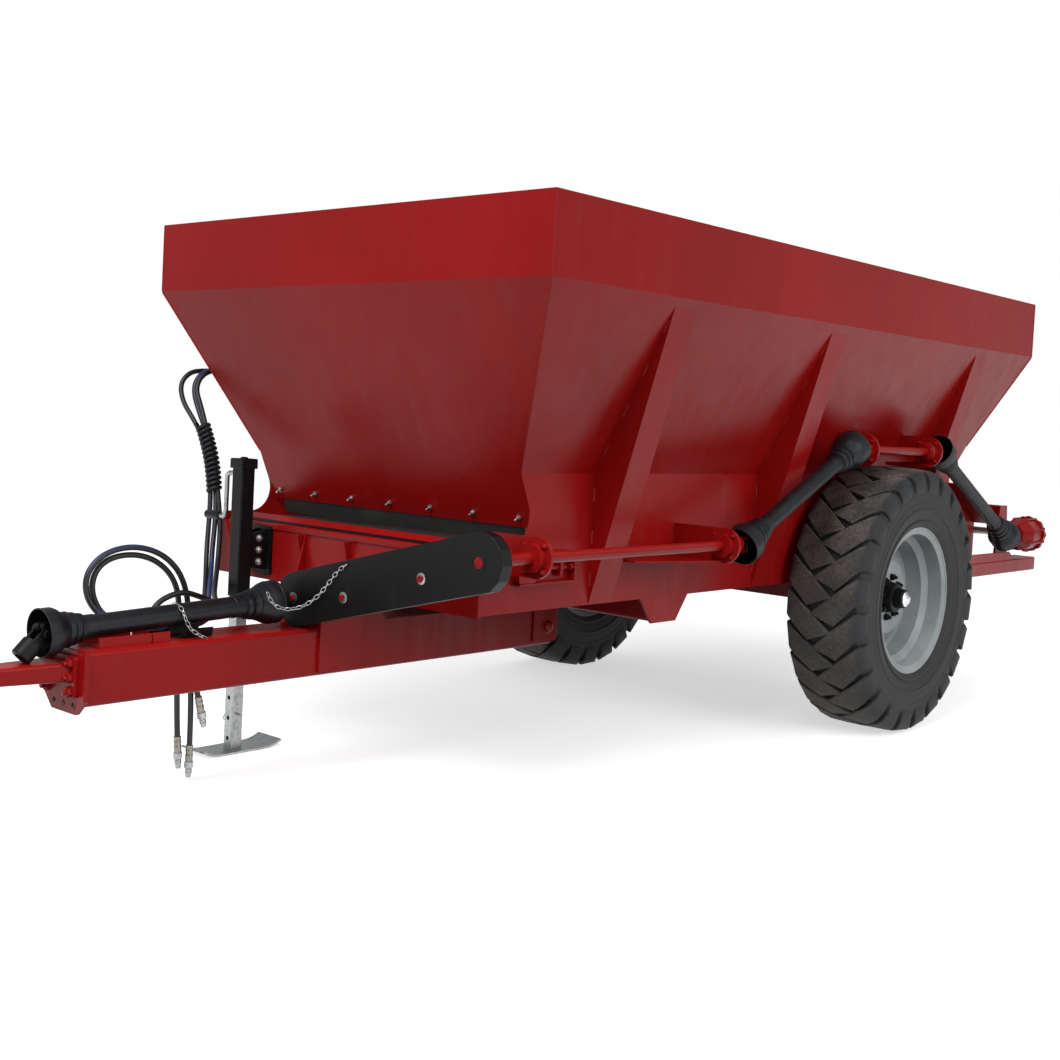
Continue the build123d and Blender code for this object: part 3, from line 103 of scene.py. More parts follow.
def noise(material, scale, detail, place=None):
    """Noise on the piece's own coordinates, or on a place made from them."""
    place = place or add_node(material, "ShaderNodeTexCoord", {}).outputs["Object"]
    field = add_node(material, "ShaderNodeTexNoise", {"Vector": place, "Scale": scale, "Detail": detail})
    return field.outputs["Fac"]


def tint(material, amount, ramp):
    """Base colour from a ramp of (place, hex code)."""
    tone = add_node(material, "ShaderNodeValToRGB", {"Fac": amount, "ramp": ramp})
    feed(material, tone.outputs["Color"], "Base Color")


def roughen(material, height, strength, distance=0.001):
    """Fine relief in the normals."""
    relief = add_node(material, "ShaderNodeBump", {"Height": height, "Strength": strength, "Distance": distance})
    feed(material, relief.outputs["Normal"], "Normal")


# Hose cover: extruded nitrile rubber, wrapped in cloth as it cures, which leaves a fine weave print
# and a dull sheen. The wrap's 1.2 mm weave is drawn at 3 mm to show.
hose_cover = new_finish("hose_cover_rubber", "black_rubber", 0.46, IOR=1.52)
tint(hose_cover, noise(hose_cover, 14, 6), [(0.35, "#0f1114"), (0.6, "#171a20"), (0.85, "#2a2c30")])
roughen(hose_cover, noise(hose_cover, 330, 2), 0.25)

# The same black cover on the pressure hose, with a painted blue sky reflection on its upward faces, broken up by
# noise
painted_sheen_cover = new_finish("hose_cover_rubber_painted_sheen", "black_rubber", 0.4, IOR=1.52)
facing = add_node(painted_sheen_cover, "ShaderNodeNewGeometry", {})
lift = add_node(painted_sheen_cover, "ShaderNodeSeparateXYZ", {"Vector": facing.outputs["Normal"]})
sheen = add_node(painted_sheen_cover, "ShaderNodeMath", {
    "operation": "ADD", 0: lift.outputs["Z"], 1: noise(painted_sheen_cover, 9, 4)})
tint(painted_sheen_cover, sheen.outputs["Value"], [(0.5, "#15171c"), (0.96, "#161a26"), (1.0, "#1d3262")])
roughen(painted_sheen_cover, noise(painted_sheen_cover, 330, 2), 0.25)


def smooth_line(name, points, resolution):
    """Smooth curve along the points, from the first to the last."""
    line = bpy.data.curves.new(name, "CURVE")
    line.dimensions = "3D"
    spline = line.splines.new("NURBS")
    spline.points.add(len(points) - 1)
    for point, spot in zip(spline.points, points):
        point.co = (*spot, 1)
    spline.order_u = 3
    spline.use_endpoint_u = True
    line.resolution_u = resolution
    return line


def points_along(piece):
    """Points along a curve that has no thickness yet."""
    sampled = bpy.data.meshes.new_from_object(piece)
    spots = [v.co.copy() for v in sampled.vertices]
    bpy.data.meshes.remove(sampled)
    return spots


hose_d = 0.020
hose_routes = {
    "hose_one": (
        (1.240, -0.9539, 1.450), (1.286, -0.9539, 1.450), (1.328, -0.949, 1.431), (1.356, -0.944, 1.394),
        (1.367, -0.930, 1.346), (1.366, -0.894, 1.280), (1.362, -0.842, 1.196), (1.366, -0.781, 1.082),
        (1.380, -0.736, 0.960), (1.400, -0.706, 0.840), (1.428, -0.680, 0.738), (1.468, -0.626, 0.656),
        (1.538, -0.536, 0.604), (1.626, -0.418, 0.576), (1.718, -0.282, 0.568), (1.800, -0.162, 0.576),
        (1.884, -0.086, 0.569), (1.980, -0.062, 0.558), (2.086, -0.065, 0.560), (2.178, -0.088, 0.571),
        (2.250, -0.134, 0.604), (2.290, -0.162, 0.664), (2.296, -0.168, 0.734), (2.256, -0.170, 0.792),
        (2.184, -0.172, 0.824), (2.096, -0.172, 0.828), (2.010, -0.171, 0.802), (1.944, -0.170, 0.750),
        (1.906, -0.169, 0.682), (1.890, -0.168, 0.600), (1.882, -0.166, 0.500), (1.876, -0.162, 0.390),
        (1.873, -0.158, 0.280), (1.872, -0.156, 0.180), (1.873, -0.155, 0.098),
    ),
    "hose_two": (
        (1.240, -0.9789, 1.450), (1.300, -0.9789, 1.450), (1.360, -0.984, 1.436), (1.400, -0.984, 1.386),
        (1.404, -0.952, 1.314), (1.388, -0.893, 1.244), (1.3835, -0.829, 1.168), (1.3875, -0.779, 1.074),
        (1.400, -0.743, 0.957), (1.416, -0.726, 0.838), (1.443, -0.696, 0.731), (1.482, -0.640, 0.645),
        (1.550, -0.548, 0.588), (1.638, -0.430, 0.558), (1.732, -0.296, 0.550), (1.822, -0.180, 0.558),
        (1.906, -0.113, 0.570), (2.000, -0.089, 0.558), (2.091, -0.094, 0.560), (2.168, -0.115, 0.577),
        (2.233, -0.153, 0.606), (2.263, -0.171, 0.665), (2.266, -0.176, 0.722), (2.238, -0.180, 0.770),
        (2.183, -0.183, 0.797), (2.104, -0.181, 0.802), (2.030, -0.180, 0.781), (1.969, -0.180, 0.737),
        (1.934, -0.177, 0.678), (1.922, -0.177, 0.600), (1.918, -0.179, 0.500), (1.919, -0.182, 0.390),
        (1.915, -0.180, 0.290), (1.913, -0.177, 0.206), (1.908, -0.176, 0.130),
    ),
    "hose_three": (
        (1.240, -0.9289, 1.450), (1.284, -0.9289, 1.450), (1.326, -0.924, 1.433), (1.357, -0.920, 1.402),
        (1.372, -0.907, 1.360), (1.371, -0.872, 1.299), (1.372, -0.822, 1.198), (1.376, -0.761, 1.082),
        (1.384, -0.717, 0.962), (1.388, -0.688, 0.842), (1.410, -0.661, 0.748), (1.452, -0.610, 0.676),
        (1.524, -0.520, 0.630), (1.612, -0.404, 0.606), (1.700, -0.274, 0.606), (1.780, -0.176, 0.618),
        (1.858, -0.138, 0.646), (1.944, -0.130, 0.674), (2.026, -0.132, 0.652), (2.064, -0.134, 0.612),
        (2.074, -0.136, 0.558), (2.054, -0.138, 0.507), (2.006, -0.140, 0.471), (1.950, -0.142, 0.432),
        (1.900, -0.141, 0.390), (1.866, -0.138, 0.334), (1.852, -0.134, 0.270),
    ),
}
hoses = {}
for name, route in hose_routes.items():
    hoses[name] = bpy.data.objects.new(name + "_cover", smooth_line(name + "_line", route, 12))
    bpy.context.scene.collection.objects.link(hoses[name])
hose_one_line = points_along(hoses["hose_one"])
for name, hose in hoses.items():
    hose.data.bevel_depth = hose_d / 2
    hose.data.bevel_resolution = 5
    hose.data.materials.append(painted_sheen_cover if name == "hose_one" else hose_cover)
    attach(hose, "chassis")
    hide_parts(name)

# Hose couplers: zinc-plated quick couplers, each with a crimped ferrule, a hexagon
# and a nose with its locking sleeve. The ferrules are yellow-passivated.
def ranged(material, amount, low, high, start=0.0, stop=1.0):
    """The amount, brought from between start and stop to between low and high."""
    return add_node(material, "ShaderNodeMapRange", {
        "Value": amount, "From Min": start, "From Max": stop, "To Min": low, "To Max": high}).outputs["Result"]


zinc = new_finish("zinc_plated_steel", "bright_steel", 0.34, 1.0)
bloom = noise(zinc, 60, 5)
tint(zinc, bloom, [(0.3, "#8f9294"), (0.55, "#b4b6b6"), (0.8, "#9c9a92")])
feed(zinc, ranged(zinc, bloom, 0.26, 0.5), "Roughness")

yellow_zinc = new_finish("yellow_passivated_zinc", "bright_steel", 0.38, 1.0)
tint(yellow_zinc, noise(yellow_zinc, 90, 3), [(0.3, "#85827a"), (0.6, "#9a968b"), (0.8, "#74726c")])


def deselect():
    """Nothing selected, so that an operator acts on the new piece alone."""
    bpy.ops.object.select_all(action="DESELECT")


def face_outward():
    """Turns all faces of the active piece outward."""
    bpy.ops.object.mode_set(mode="EDIT")
    bpy.ops.mesh.select_all(action="SELECT")
    bpy.ops.mesh.normals_make_consistent(inside=False)
    bpy.ops.object.mode_set(mode="OBJECT")


def aim(piece, start, end):
    """Turns a piece modelled along Z at the origin to run from start toward end, and applies its place."""
    piece.rotation_mode = "QUATERNION"
    piece.rotation_quaternion = (Vector(end) - Vector(start)).to_track_quat("Z", "Y")
    piece.location = start
    deselect()
    piece.select_set(True)
    bpy.context.view_layer.objects.active = piece
    bpy.ops.object.transform_apply(location=True, rotation=True, scale=True)


def turned(name, start, end, stations, sides=40, ring=False, smooth=35):
    """Round piece turned about the line from start toward end, through (distance, radius) stations."""
    deselect()
    first, radius = stations[0]
    bpy.ops.mesh.primitive_circle_add(
        vertices=sides, radius=radius, location=(0, 0, 0), fill_type="NOTHING" if ring else "NGON")
    piece = bpy.context.object
    piece.name = piece.data.name = name
    bpy.ops.object.mode_set(mode="EDIT")
    bpy.ops.mesh.select_all(action="SELECT")
    bpy.ops.transform.translate(value=(0, 0, first))
    for (before, r_before), (after, r_after) in zip(stations, stations[1:]):
        bpy.ops.mesh.extrude_region_move(TRANSFORM_OT_translate={"value": (0, 0, after - before)})
        grow = r_after / r_before
        bpy.ops.transform.resize(value=(grow, grow, 1), center_override=(0, 0, after))
    if ring:
        bpy.ops.mesh.select_all(action="SELECT")
        bpy.ops.mesh.remove_doubles(threshold=1e-5)
    face_outward()
    aim(piece, start, end)
    if smooth:
        bpy.ops.object.shade_smooth_by_angle(angle=math.radians(smooth))
    return piece


def joined(name, pieces):
    """One object from several, with its place in its mesh."""
    deselect()
    for piece in pieces:
        piece.select_set(True)
    bpy.context.view_layer.objects.active = pieces[0]
    if len(pieces) > 1:
        bpy.ops.object.join()
    whole = bpy.context.view_layer.objects.active
    bpy.ops.object.transform_apply(location=True, rotation=True, scale=True)
    whole.name = whole.data.name = name
    return whole


def fit(piece, body, finish):
    """Gives a finished piece its material and slot, and mounts it on its body."""
    piece.data.materials.clear()
    piece.data.materials.append(finish)
    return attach(piece, body)


def lay_copies(name, pattern, places):
    """Copies of a pattern modelled along Z, one at each (point, direction, turn), joined; the pattern goes."""
    copies = []
    for spot, direction, turn in places:
        copy = pattern.copy()
        copy.data = pattern.data.copy()
        bpy.context.scene.collection.objects.link(copy)
        copy.matrix_world = (
            Matrix.Translation(spot) @ Vector(direction).to_track_quat("Z", "Y").to_matrix().to_4x4()
            @ Matrix.Rotation(turn, 4, "Z")
        )
        copies.append(copy)
    bpy.data.objects.remove(pattern)
    return joined(name, copies)


for name, route in hose_routes.items():
    end = Vector(route[-1])
    down = end + (end - Vector(route[-2])).normalized()
    long = 0.080 if name == "hose_three" else 0.082
    ferrule = turned(name + "_ferrule", end, down, [
        (-0.030, 0.0106), (-0.030, 0.0130), (-0.024, 0.0134), (-0.022, 0.0122), (-0.016, 0.0122), (-0.014, 0.0134),
        (-0.008, 0.0134), (-0.006, 0.0122), (0.000, 0.0122), (0.002, 0.0134), (0.012, 0.0134), (0.026, 0.0124)], 28)
    hexagon = turned("hexagon", end, down, [
        (0.0255, 0.0135), (0.0270, 0.0168), (0.0470, 0.0168), (0.0490, 0.0135)], 6, smooth=None)
    nose = turned("nose", end, down, [
        (0.046, 0.0100), (0.052, 0.0100), (0.053, 0.0120), (0.060, 0.0120), (0.061, 0.0106), (0.063, 0.0120),
        (0.066, 0.0120), (0.067, 0.0098), (0.078, 0.0098), (long, 0.0080), (long, 0.0062), (0.074, 0.0060)], 28)
    fit(ferrule, "chassis", yellow_zinc)
    coupler = fit(joined(name + "_coupler", [hexagon, nose]), "chassis", zinc)
    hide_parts("hose_couplers")

# Spiral wrap: a black polyethylene ribbon wound round the three hoses where they come down
# beside the jack, which keeps the bundle together.
black_plastic = new_finish("moulded_polyethylene", "black_plastic", 0.45, IOR=1.51, Specular_IOR_Level=0.3)
scuff = noise(black_plastic, 18, 7)
tint(black_plastic, scuff, [(0.3, "#0e1115"), (0.58, "#14181d"), (0.8, "#262b31")])
feed(black_plastic, ranged(black_plastic, scuff, 0.3, 0.6), "Roughness")
roughen(black_plastic, noise(black_plastic, 420, 2), 0.15)

wrap_low, wrap_high, wrap_r, wrap_pitch = 0.965, 1.235, 0.0240, 0.0205
to_bundle = Vector((0.0102, 0.0068, 0))     # from hose_one to the middle of the three
middle = [p + to_bundle for p in hose_one_line if wrap_low < p.z < wrap_high]
helix, run = [], 0.0
for before, after in zip(middle, middle[1:]):
    step = (after - before).length
    along_hose = (after - before).normalized()
    side = along_hose.cross(Vector((0, 0, 1))).normalized()
    other = along_hose.cross(side)
    for share in (0, 0.125, 0.25, 0.375, 0.5, 0.625, 0.75, 0.875):
        turn = 2 * math.pi * (run + share * step) / wrap_pitch
        # three lobes where the ribbon passes over each hose
        reach = wrap_r * (1 + 0.05 * math.cos(3 * turn))
        helix.append(before.lerp(after, share) + reach * (math.cos(turn) * side + math.sin(turn) * other))
    run += step
ribbon = bpy.data.curves.new("spiral_wrap_line", "CURVE")
ribbon.dimensions = "3D"
spline = ribbon.splines.new("POLY")
spline.points.add(len(helix) - 1)
for point, spot in zip(spline.points, helix):
    point.co = (*spot, 1)
ribbon.bevel_depth = 0.0084
ribbon.bevel_resolution = 2
wrap = bpy.data.objects.new("spiral_wrap", ribbon)
bpy.context.scene.collection.objects.link(wrap)
fit(wrap, "chassis", black_plastic)

# Floor and light: a pale studio floor under a white sky, with a soft key from ahead and above.
# The floor is grey to bounced light, so that the slopes' undersides stay dark.
deselect()
bpy.ops.mesh.primitive_plane_add(size=160, location=(0, 0, -0.0005))
floor = bpy.context.object
floor.name = "studio_floor"
pale = new_finish("pale_floor", "", 0.9)
tree = pale.node_tree
rays = add_node(pale, "ShaderNodeLightPath", {})
seen = add_node(pale, "ShaderNodeMath", {
    "operation": "MAXIMUM", 0: rays.outputs["Is Camera Ray"], 1: rays.outputs["Is Glossy Ray"]})
shown = add_node(pale, "ShaderNodeBsdfDiffuse", {"Color": linear("#f1f1f1")})
glow = add_node(pale, "ShaderNodeEmission", {"Color": (1, 1, 1, 1), "Strength": 0.58})
white = add_node(pale, "ShaderNodeAddShader", {0: shown.outputs["BSDF"], 1: glow.outputs["Emission"]})
bounced = add_node(pale, "ShaderNodeBsdfDiffuse", {"Color": linear("#6f6c6a")})
mixed = add_node(pale, "ShaderNodeMixShader", {
    "Fac": seen.outputs["Value"], 1: bounced.outputs["BSDF"], 2: white.outputs["Shader"]})
tree.links.new(mixed.outputs["Shader"], tree.nodes["Material Output"].inputs["Surface"])
floor.data.materials.append(pale)

world = bpy.data.worlds.new("studio")
bpy.context.scene.world = world
world.use_nodes = True
rays = add_node(world, "ShaderNodeLightPath", {})
lit = add_node(world, "ShaderNodeBackground", {"Color": linear("#f0f2f4"), "Strength": 0.55})
sky = add_node(world, "ShaderNodeBackground", {"Color": (1, 1, 1, 1), "Strength": 1.0})
mixed = add_node(world, "ShaderNodeMixShader", {
    "Fac": rays.outputs["Is Camera Ray"], 1: lit.outputs["Background"], 2: sky.outputs["Background"]})
world.node_tree.links.new(mixed.outputs["Shader"], world.node_tree.nodes["World Output"].inputs["Surface"])

for name, spot, target, size, power in (
    ("key_light", (6.0, 1.5, 6.5), (0.4, 0, 1.0), 5.0, 420),
    ("side_light", (0.0, 7.5, 4.2), (-0.6, 0.6, 0.8), 5.0, 230),
):
    deselect()
    bpy.ops.object.light_add(type="AREA", location=spot)
    lamp = bpy.context.object
    lamp.name = name
    lamp.data.shape = "SQUARE"
    lamp.data.size = size
    lamp.data.energy = power
    lamp.rotation_euler = (Vector(target) - Vector(spot)).to_track_quat("-Z", "Y").to_euler()
bpy.context.scene.view_settings.view_transform = "Standard"

# Hopper and frame: 5 mm steel sheet, folded and welded, sprayed with gloss red machine enamel.
# The enamel shows a faint orange peel, drawn at 7 mm where the real one is 2 mm, thin dust and dull patches.
enamel = new_finish("red_machine_enamel", "red_enamel", 0.34, IOR=1.5, Specular_IOR_Level=0.2)
tone = add_node(enamel, "ShaderNodeValToRGB", {
    "Fac": noise(enamel, 1.6, 5), "ramp": [(0.3, "#900d0d"), (0.55, "#9b0f0f"), (0.75, "#a11412")]})
place = add_node(enamel, "ShaderNodeTexCoord", {})
stretched = add_node(enamel, "ShaderNodeMapping", {"Vector": place.outputs["Object"], "Scale": (9, 9, 1.1)})
streak = noise(enamel, 2.2, 3, stretched.outputs["Vector"])
dusty = add_node(enamel, "ShaderNodeMixRGB", {
    "Fac": ranged(enamel, streak, 0.0, 0.12, 0.55, 0.9), "Color1": tone.outputs["Color"],
    "Color2": linear("#85483c")})
feed(enamel, dusty.outputs["Color"], "Base Color")
feed(enamel, ranged(enamel, streak, 0.27, 0.42, 0.3, 0.8), "Roughness")
roughen(enamel, noise(enamel, 140, 2), 0.06)

# Brackets, jack tube, hubs and drive case: black chassis enamel over steel, a little duller, scuffed
# in random patches
black_enamel = new_finish("black_chassis_enamel", "black_enamel", 0.4, IOR=1.5, Specular_IOR_Level=0.22)
scuff = noise(black_enamel, 12, 8)
tint(black_enamel, scuff, [(0.3, "#08090a"), (0.6, "#0d0e10"), (0.86, "#1c1d1e")])
feed(black_enamel, ranged(black_enamel, scuff, 0.34, 0.58), "Roughness")
roughen(black_enamel, noise(black_enamel, 160, 2), 0.08)

# Belt: two-ply rubber, matt, with the dust of its use
belt_rubber = new_finish("belt_rubber", "black_rubber", 0.7, IOR=1.52)
tint(belt_rubber, noise(belt_rubber, 5, 8), [(0.35, "#16171a"), (0.6, "#24231f"), (0.8, "#3d3a33")])
roughen(belt_rubber, noise(belt_rubber, 260, 2), 0.2)

red_nodes = (
    "axle", "belt_bearings", "belt_scraper", "cross_members", "disc_gearboxes", "draw_crossmember", "drawbar",
    "drawbar_sleeve", "floor_plate", "frame_side_left", "frame_side_right", "front_cross_panel", "hitch_head",
    "hopper_front", "hopper_rear", "hopper_side_left", "hopper_side_right", "input_bearing", "outlet_frame",
    "rear_arms", "side_brackets", "side_gearbox", "side_ribs", "side_shaft", "spinner_beam", "towing_eye",
    "upper_bracket", "upper_shaft", "gate", "spinner_left", "spinner_right",
)
black_nodes = ("drive_case", "jack_tube", "shaft_rest", "valve_block", "hub_left", "hub_right", "power_fork",
               "power_shaft", "side_joint_shaft_front", "side_joint_shaft_rear", "input_shaft")
steel_nodes = ("jack_leg", "jack_crank", "rollers", "cross_shaft")


def coat(names, finish):
    """Gives the part's own solids their material."""
    for name in names:
        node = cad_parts[name]
        node.data.materials.clear()
        node.data.materials.append(finish)


coat(red_nodes, enamel)
coat(black_nodes, black_enamel)
coat(steel_nodes, zinc)
coat(["conveyor_belt"], belt_rubber)

# Guards of the three power shafts: blow-moulded black polyethylene, a tube with a bell at each end,
# ribbed where the bell clips on. They replace the plain turned guards of the same size.
side_y = 0.940
guard_ends = (
    ("power_guard", (2.535, 0, 0.600), (1.680, 0, 0.635), 0.036, 0.076, 0.130, 0.010),
    ("side_guard_front", (0.130, side_y, 0.877), (-0.690, side_y, 1.255), 0.034, 0.078, 0.140, 0.025),
    ("side_guard_rear", (-1.550, side_y, 1.255), (-2.410, side_y, 0.830), 0.034, 0.078, 0.140, 0.025),
)
for name, start, end, tube_r, mouth_r, bell_long, front_reach in guard_ends:
    start, end = Vector(start), Vector(end)
    run = (end - start).length
    clip = mouth_r * 0.66
    # from the mouth inward: lip, cup, shoulder, three ribs of the clip collar, tube
    bell = [
        (-front_reach, mouth_r - 0.0035), (-front_reach, mouth_r), (-front_reach + 0.006, mouth_r),
        (-front_reach + 0.008, mouth_r - 0.0015),
        (bell_long * 0.20, mouth_r - 0.001), (bell_long * 0.30, mouth_r - 0.006),
        (bell_long * 0.42, clip + 0.009), (bell_long * 0.50, clip + 0.002), (bell_long * 0.52, clip + 0.006),
        (bell_long * 0.60, clip + 0.006), (bell_long * 0.62, clip - 0.002), (bell_long * 0.68, clip - 0.002),
        (bell_long * 0.70, clip + 0.002), (bell_long * 0.78, clip + 0.001), (bell_long * 0.80, clip - 0.007),
        (bell_long * 0.86, clip - 0.007), (bell_long * 0.88, clip - 0.003), (bell_long * 0.98, clip - 0.005),
        (bell_long, tube_r + 0.002), (bell_long + 0.040, tube_r + 0.002), (bell_long + 0.042, tube_r),
    ]
    rear = [(run + 0.025 - (t + front_reach), r) for t, r in bell]
    outside = bell + rear[::-1]
    inside = [(run + 0.025, mouth_r - 0.0035), (run - bell_long * 0.2, mouth_r - 0.005),
              (run - bell_long * 0.65, clip - 0.006), (run - bell_long, tube_r - 0.004),
              (bell_long, tube_r - 0.004), (bell_long * 0.65, clip - 0.006),
              (bell_long * 0.2, mouth_r - 0.005), (-front_reach, mouth_r - 0.0035)]
    guard = turned(name + "_bells", start, end, outside + inside, 56, ring=True)
    fit(guard, "chassis", black_plastic)
    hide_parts(name)

# Tyres: bias-ply traction tyres for a 24 inch rim, with 24 interleaved lugs a side that run
# from the crown over the shoulder. Rubber: dusty on the lugs' faces, clean and dark between them.
tyre_rubber = new_finish("tyre_rubber_dusty", "tyre_rubber", 0.72, IOR=1.52)
axle_x, axle_z, wheel_y = -1.120, 0.592, 0.920
place = add_node(tyre_rubber, "ShaderNodeTexCoord", {})
about_axle = add_node(tyre_rubber, "ShaderNodeVectorMath", {
    "operation": "ADD", 0: place.outputs["Object"], 1: (-axle_x, 0, -axle_z)})
flat = add_node(tyre_rubber, "ShaderNodeVectorMath", {
    "operation": "MULTIPLY", 0: about_axle.outputs["Vector"], 1: (1, 0, 1)})
length = add_node(tyre_rubber, "ShaderNodeVectorMath", {"operation": "LENGTH", 0: flat.outputs["Vector"]})
radius = length.outputs["Value"]
speck = noise(tyre_rubber, 75, 6)
amount = add_node(tyre_rubber, "ShaderNodeMath", {"operation": "MULTIPLY", 0: noise(tyre_rubber, 9, 10), 1: speck})
spread = ranged(tyre_rubber, amount.outputs["Value"], 0.25, 1.5, 0.14, 0.40)
dust = add_node(tyre_rubber, "ShaderNodeMath", {
    "operation": "MULTIPLY", 0: ranged(tyre_rubber, radius, 0.0, 0.62, 0.574, 0.586), 1: spread})
film = add_node(tyre_rubber, "ShaderNodeMath", {
    "operation": "MULTIPLY_ADD", 0: ranged(tyre_rubber, radius, 0.10, 0.0, 0.33, 0.56), 1: spread,
    2: dust.outputs["Value"]})
tone = add_node(tyre_rubber, "ShaderNodeMixRGB", {
    "Fac": film.outputs["Value"], "Color1": linear("#1c1e20"), "Color2": linear("#625c55")})
feed(tyre_rubber, tone.outputs["Color"], "Base Color")
roughen(tyre_rubber, speck, 0.35, 0.002)

tyre_r, half_width, lug_lean = 0.592, 0.180, math.radians(38)
lugs, lug_run, groove = 24, math.tan(lug_lean) * half_width, 0.0125
pitch = 2 * math.pi * tyre_r / lugs
weave_reach = pitch / (4 * math.tan(lug_lean))
# the lug's face in section: distance from the tyre's centre, radius
face = ((0.004, 0.5915), (0.080, 0.5905), (0.146, 0.587), (0.164, 0.574), (0.176, 0.553), (0.1795, 0.528),
        (0.1775, 0.500), (0.174, 0.482))
# the carcass between and below the lugs, from the bead out to the crown
carcass = ((0.148, 0.325), (0.156, 0.336), (0.165, 0.350), (0.165, 0.359), (0.160, 0.362), (0.166, 0.378),
           (0.1715, 0.402),
           (0.1745, 0.404), (0.1760, 0.410), (0.1745, 0.416), (0.1725, 0.418), (0.1750, 0.446), (0.1735, 0.452),
           (0.1735, 0.458), (0.1750, 0.462), (0.1735, 0.484), (0.168, 0.520), (0.152, 0.552), (0.120, 0.563),
           (0.0, 0.566))


def along_face(run):
    """Point of the lug's face and its outward normal, that far from the crown."""
    for (y0, r0), (y1, r1) in zip(face, face[1:]):
        step = math.hypot(y1 - y0, r1 - r0)
        if run <= step or (y1, r1) == face[-1]:
            share = run / step
            return y0 + (y1 - y0) * share, r0 + (r1 - r0) * share, -(r1 - r0) / step, (y1 - y0) / step
        run -= step


face_long = sum(math.hypot(b[0] - a[0], b[1] - a[1]) for a, b in zip(face, face[1:]))
for body, hand in (("wheel_left", 1), ("wheel_right", -1)):
    deselect()
    bpy.ops.mesh.primitive_cube_add(size=1, location=(0.5, 0, -0.5))
    lug = bpy.context.object
    bpy.ops.object.mode_set(mode="EDIT")
    bpy.ops.mesh.select_all(action="SELECT")
    bpy.ops.mesh.bisect(plane_co=(0.5, 0, 0), plane_no=(1, 0, 0))
    for cut in (0.06, 0.2, 0.34, 0.48, 0.56, 0.64, 0.72, 0.8, 0.88, 0.96):
        bpy.ops.mesh.select_all(action="SELECT")
        bpy.ops.mesh.bisect(plane_co=(cut, 0, 0), plane_no=(1, 0, 0))
    for level, cut in (((0, 0, -0.12), (0, 0, 1)), ((0, 0.46, 0), (0, 1, 0)), ((0, -0.46, 0), (0, 1, 0))):
        bpy.ops.mesh.select_all(action="SELECT")
        bpy.ops.mesh.bisect(plane_co=level, plane_no=cut)
    bpy.ops.object.mode_set(mode="OBJECT")
    bpy.ops.object.transform_apply(location=True, rotation=True, scale=True)
    lug_points = [v.co.copy() for v in lug.data.vertices]
    tread = []
    for side, phase in ((1, 0.0), (-1, 0.5)):
        for i in range(lugs):
            copy = lug.copy()
            copy.data = lug.data.copy()
            bpy.context.scene.collection.objects.link(copy)
            for vertex, flat_point in zip(copy.data.vertices, lug_points):
                length, across, depth = flat_point.x, flat_point.y, -flat_point.z
                # a block starts where the other side's groove cuts it off, across the crown
                start = -2 * weave_reach * across + 0.0085
                along = start + length * (face_long - start)
                y, r, out_y, out_r = along_face(abs(along))
                if along < 0:
                    y, out_y = -y, -out_y
                wide = pitch - groove - 0.020 * max(0, min(1, (y - 0.06) / 0.105)) - (0.012 if y > 0.172 else 0)
                edge = 0.0035 if depth < 0.01 and (abs(across) > 0.49 or length in (0, 1)) else 0
                sunk = depth * (0.038 if length < 0.7 else 0.028) + edge * 0.6
                fan = wide * (1 + 0.05 * min(1, depth * 2)) - 2 * edge
                lead = -lug_run / 2 + lug_run * min(1, y / 0.158) + (0.006 if y > 0.165 else 0)
                angle = 2 * math.pi * (i + phase) / lugs + (lead + across * fan) / tyre_r
                y -= sunk * out_y
                r -= sunk * out_r
                vertex.co = (axle_x + r * math.cos(angle), hand * (wheel_y + side * y), axle_z + r * math.sin(angle))
            tread.append(copy)
    bpy.data.objects.remove(lug)
    profile = [(wheel_y + y, r) for y, r in carcass] + [(wheel_y - y, r) for y, r in carcass[-2::-1]]
    profile += [(wheel_y - 0.128, 0.306), (wheel_y + 0.128, 0.306), (wheel_y + carcass[0][0], carcass[0][1])]
    hull = turned("carcass", (axle_x, 0, axle_z), (axle_x, hand, axle_z), profile, 120, ring=True, smooth=None)
    tyre = joined("tyre_" + ("left" if hand > 0 else "right") + "_tread", [hull] + tread)
    face_outward()
    bpy.ops.object.shade_smooth_by_angle(angle=math.radians(28))
    fit(tyre, body, tyre_rubber)
    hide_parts("tyre_left" if hand > 0 else "tyre_right")

# Wheels: welded steel disc wheels, sprayed in silver-grey enamel, eight studs on a black hub
# with a chrome-plated cap pressed over its bearing.
silver = new_finish("silver_wheel_enamel", "silver_enamel", 0.34, IOR=1.5, Coat_Weight=0.15)
fleck = noise(silver, 6, 8)
tint(silver, fleck, [(0.3, "#8c9496"), (0.55, "#a2a9aa"), (0.8, "#b0b5b5")])
feed(silver, ranged(silver, fleck, 0.28, 0.48), "Roughness")
coat(["rim_left", "rim_right"], silver)

chrome = new_finish("chrome_plate", "bright_steel", 0.08, 1.0)
tint(chrome, noise(chrome, 40, 4), [(0.3, "#c3c6c9"), (0.7, "#dfe1e3")])


def hex_bolt(head_r, head_h, washer_r, stub=0.0):
    """Hexagon head on a washer, modelled along Z from the plate's face, with a stub of thread if asked."""
    parts = [
        turned("washer", (0, 0, 0), (0, 0, 1), [(0, washer_r), (0.0022, washer_r)], 20, smooth=None),
        turned("head", (0, 0, 0), (0, 0, 1), [
            (0.002, head_r), (0.002 + head_h * 0.8, head_r), (0.002 + head_h, head_r * 0.82)], 6, smooth=None),
    ]
    if stub:
        parts.append(turned("thread", (0, 0, 0), (0, 0, 1), [
            (0.002, head_r * 0.52), (0.001 + head_h + stub, head_r * 0.52),
            (0.003 + head_h + stub, head_r * 0.42)], 12))
    return joined("hex_bolt", parts)


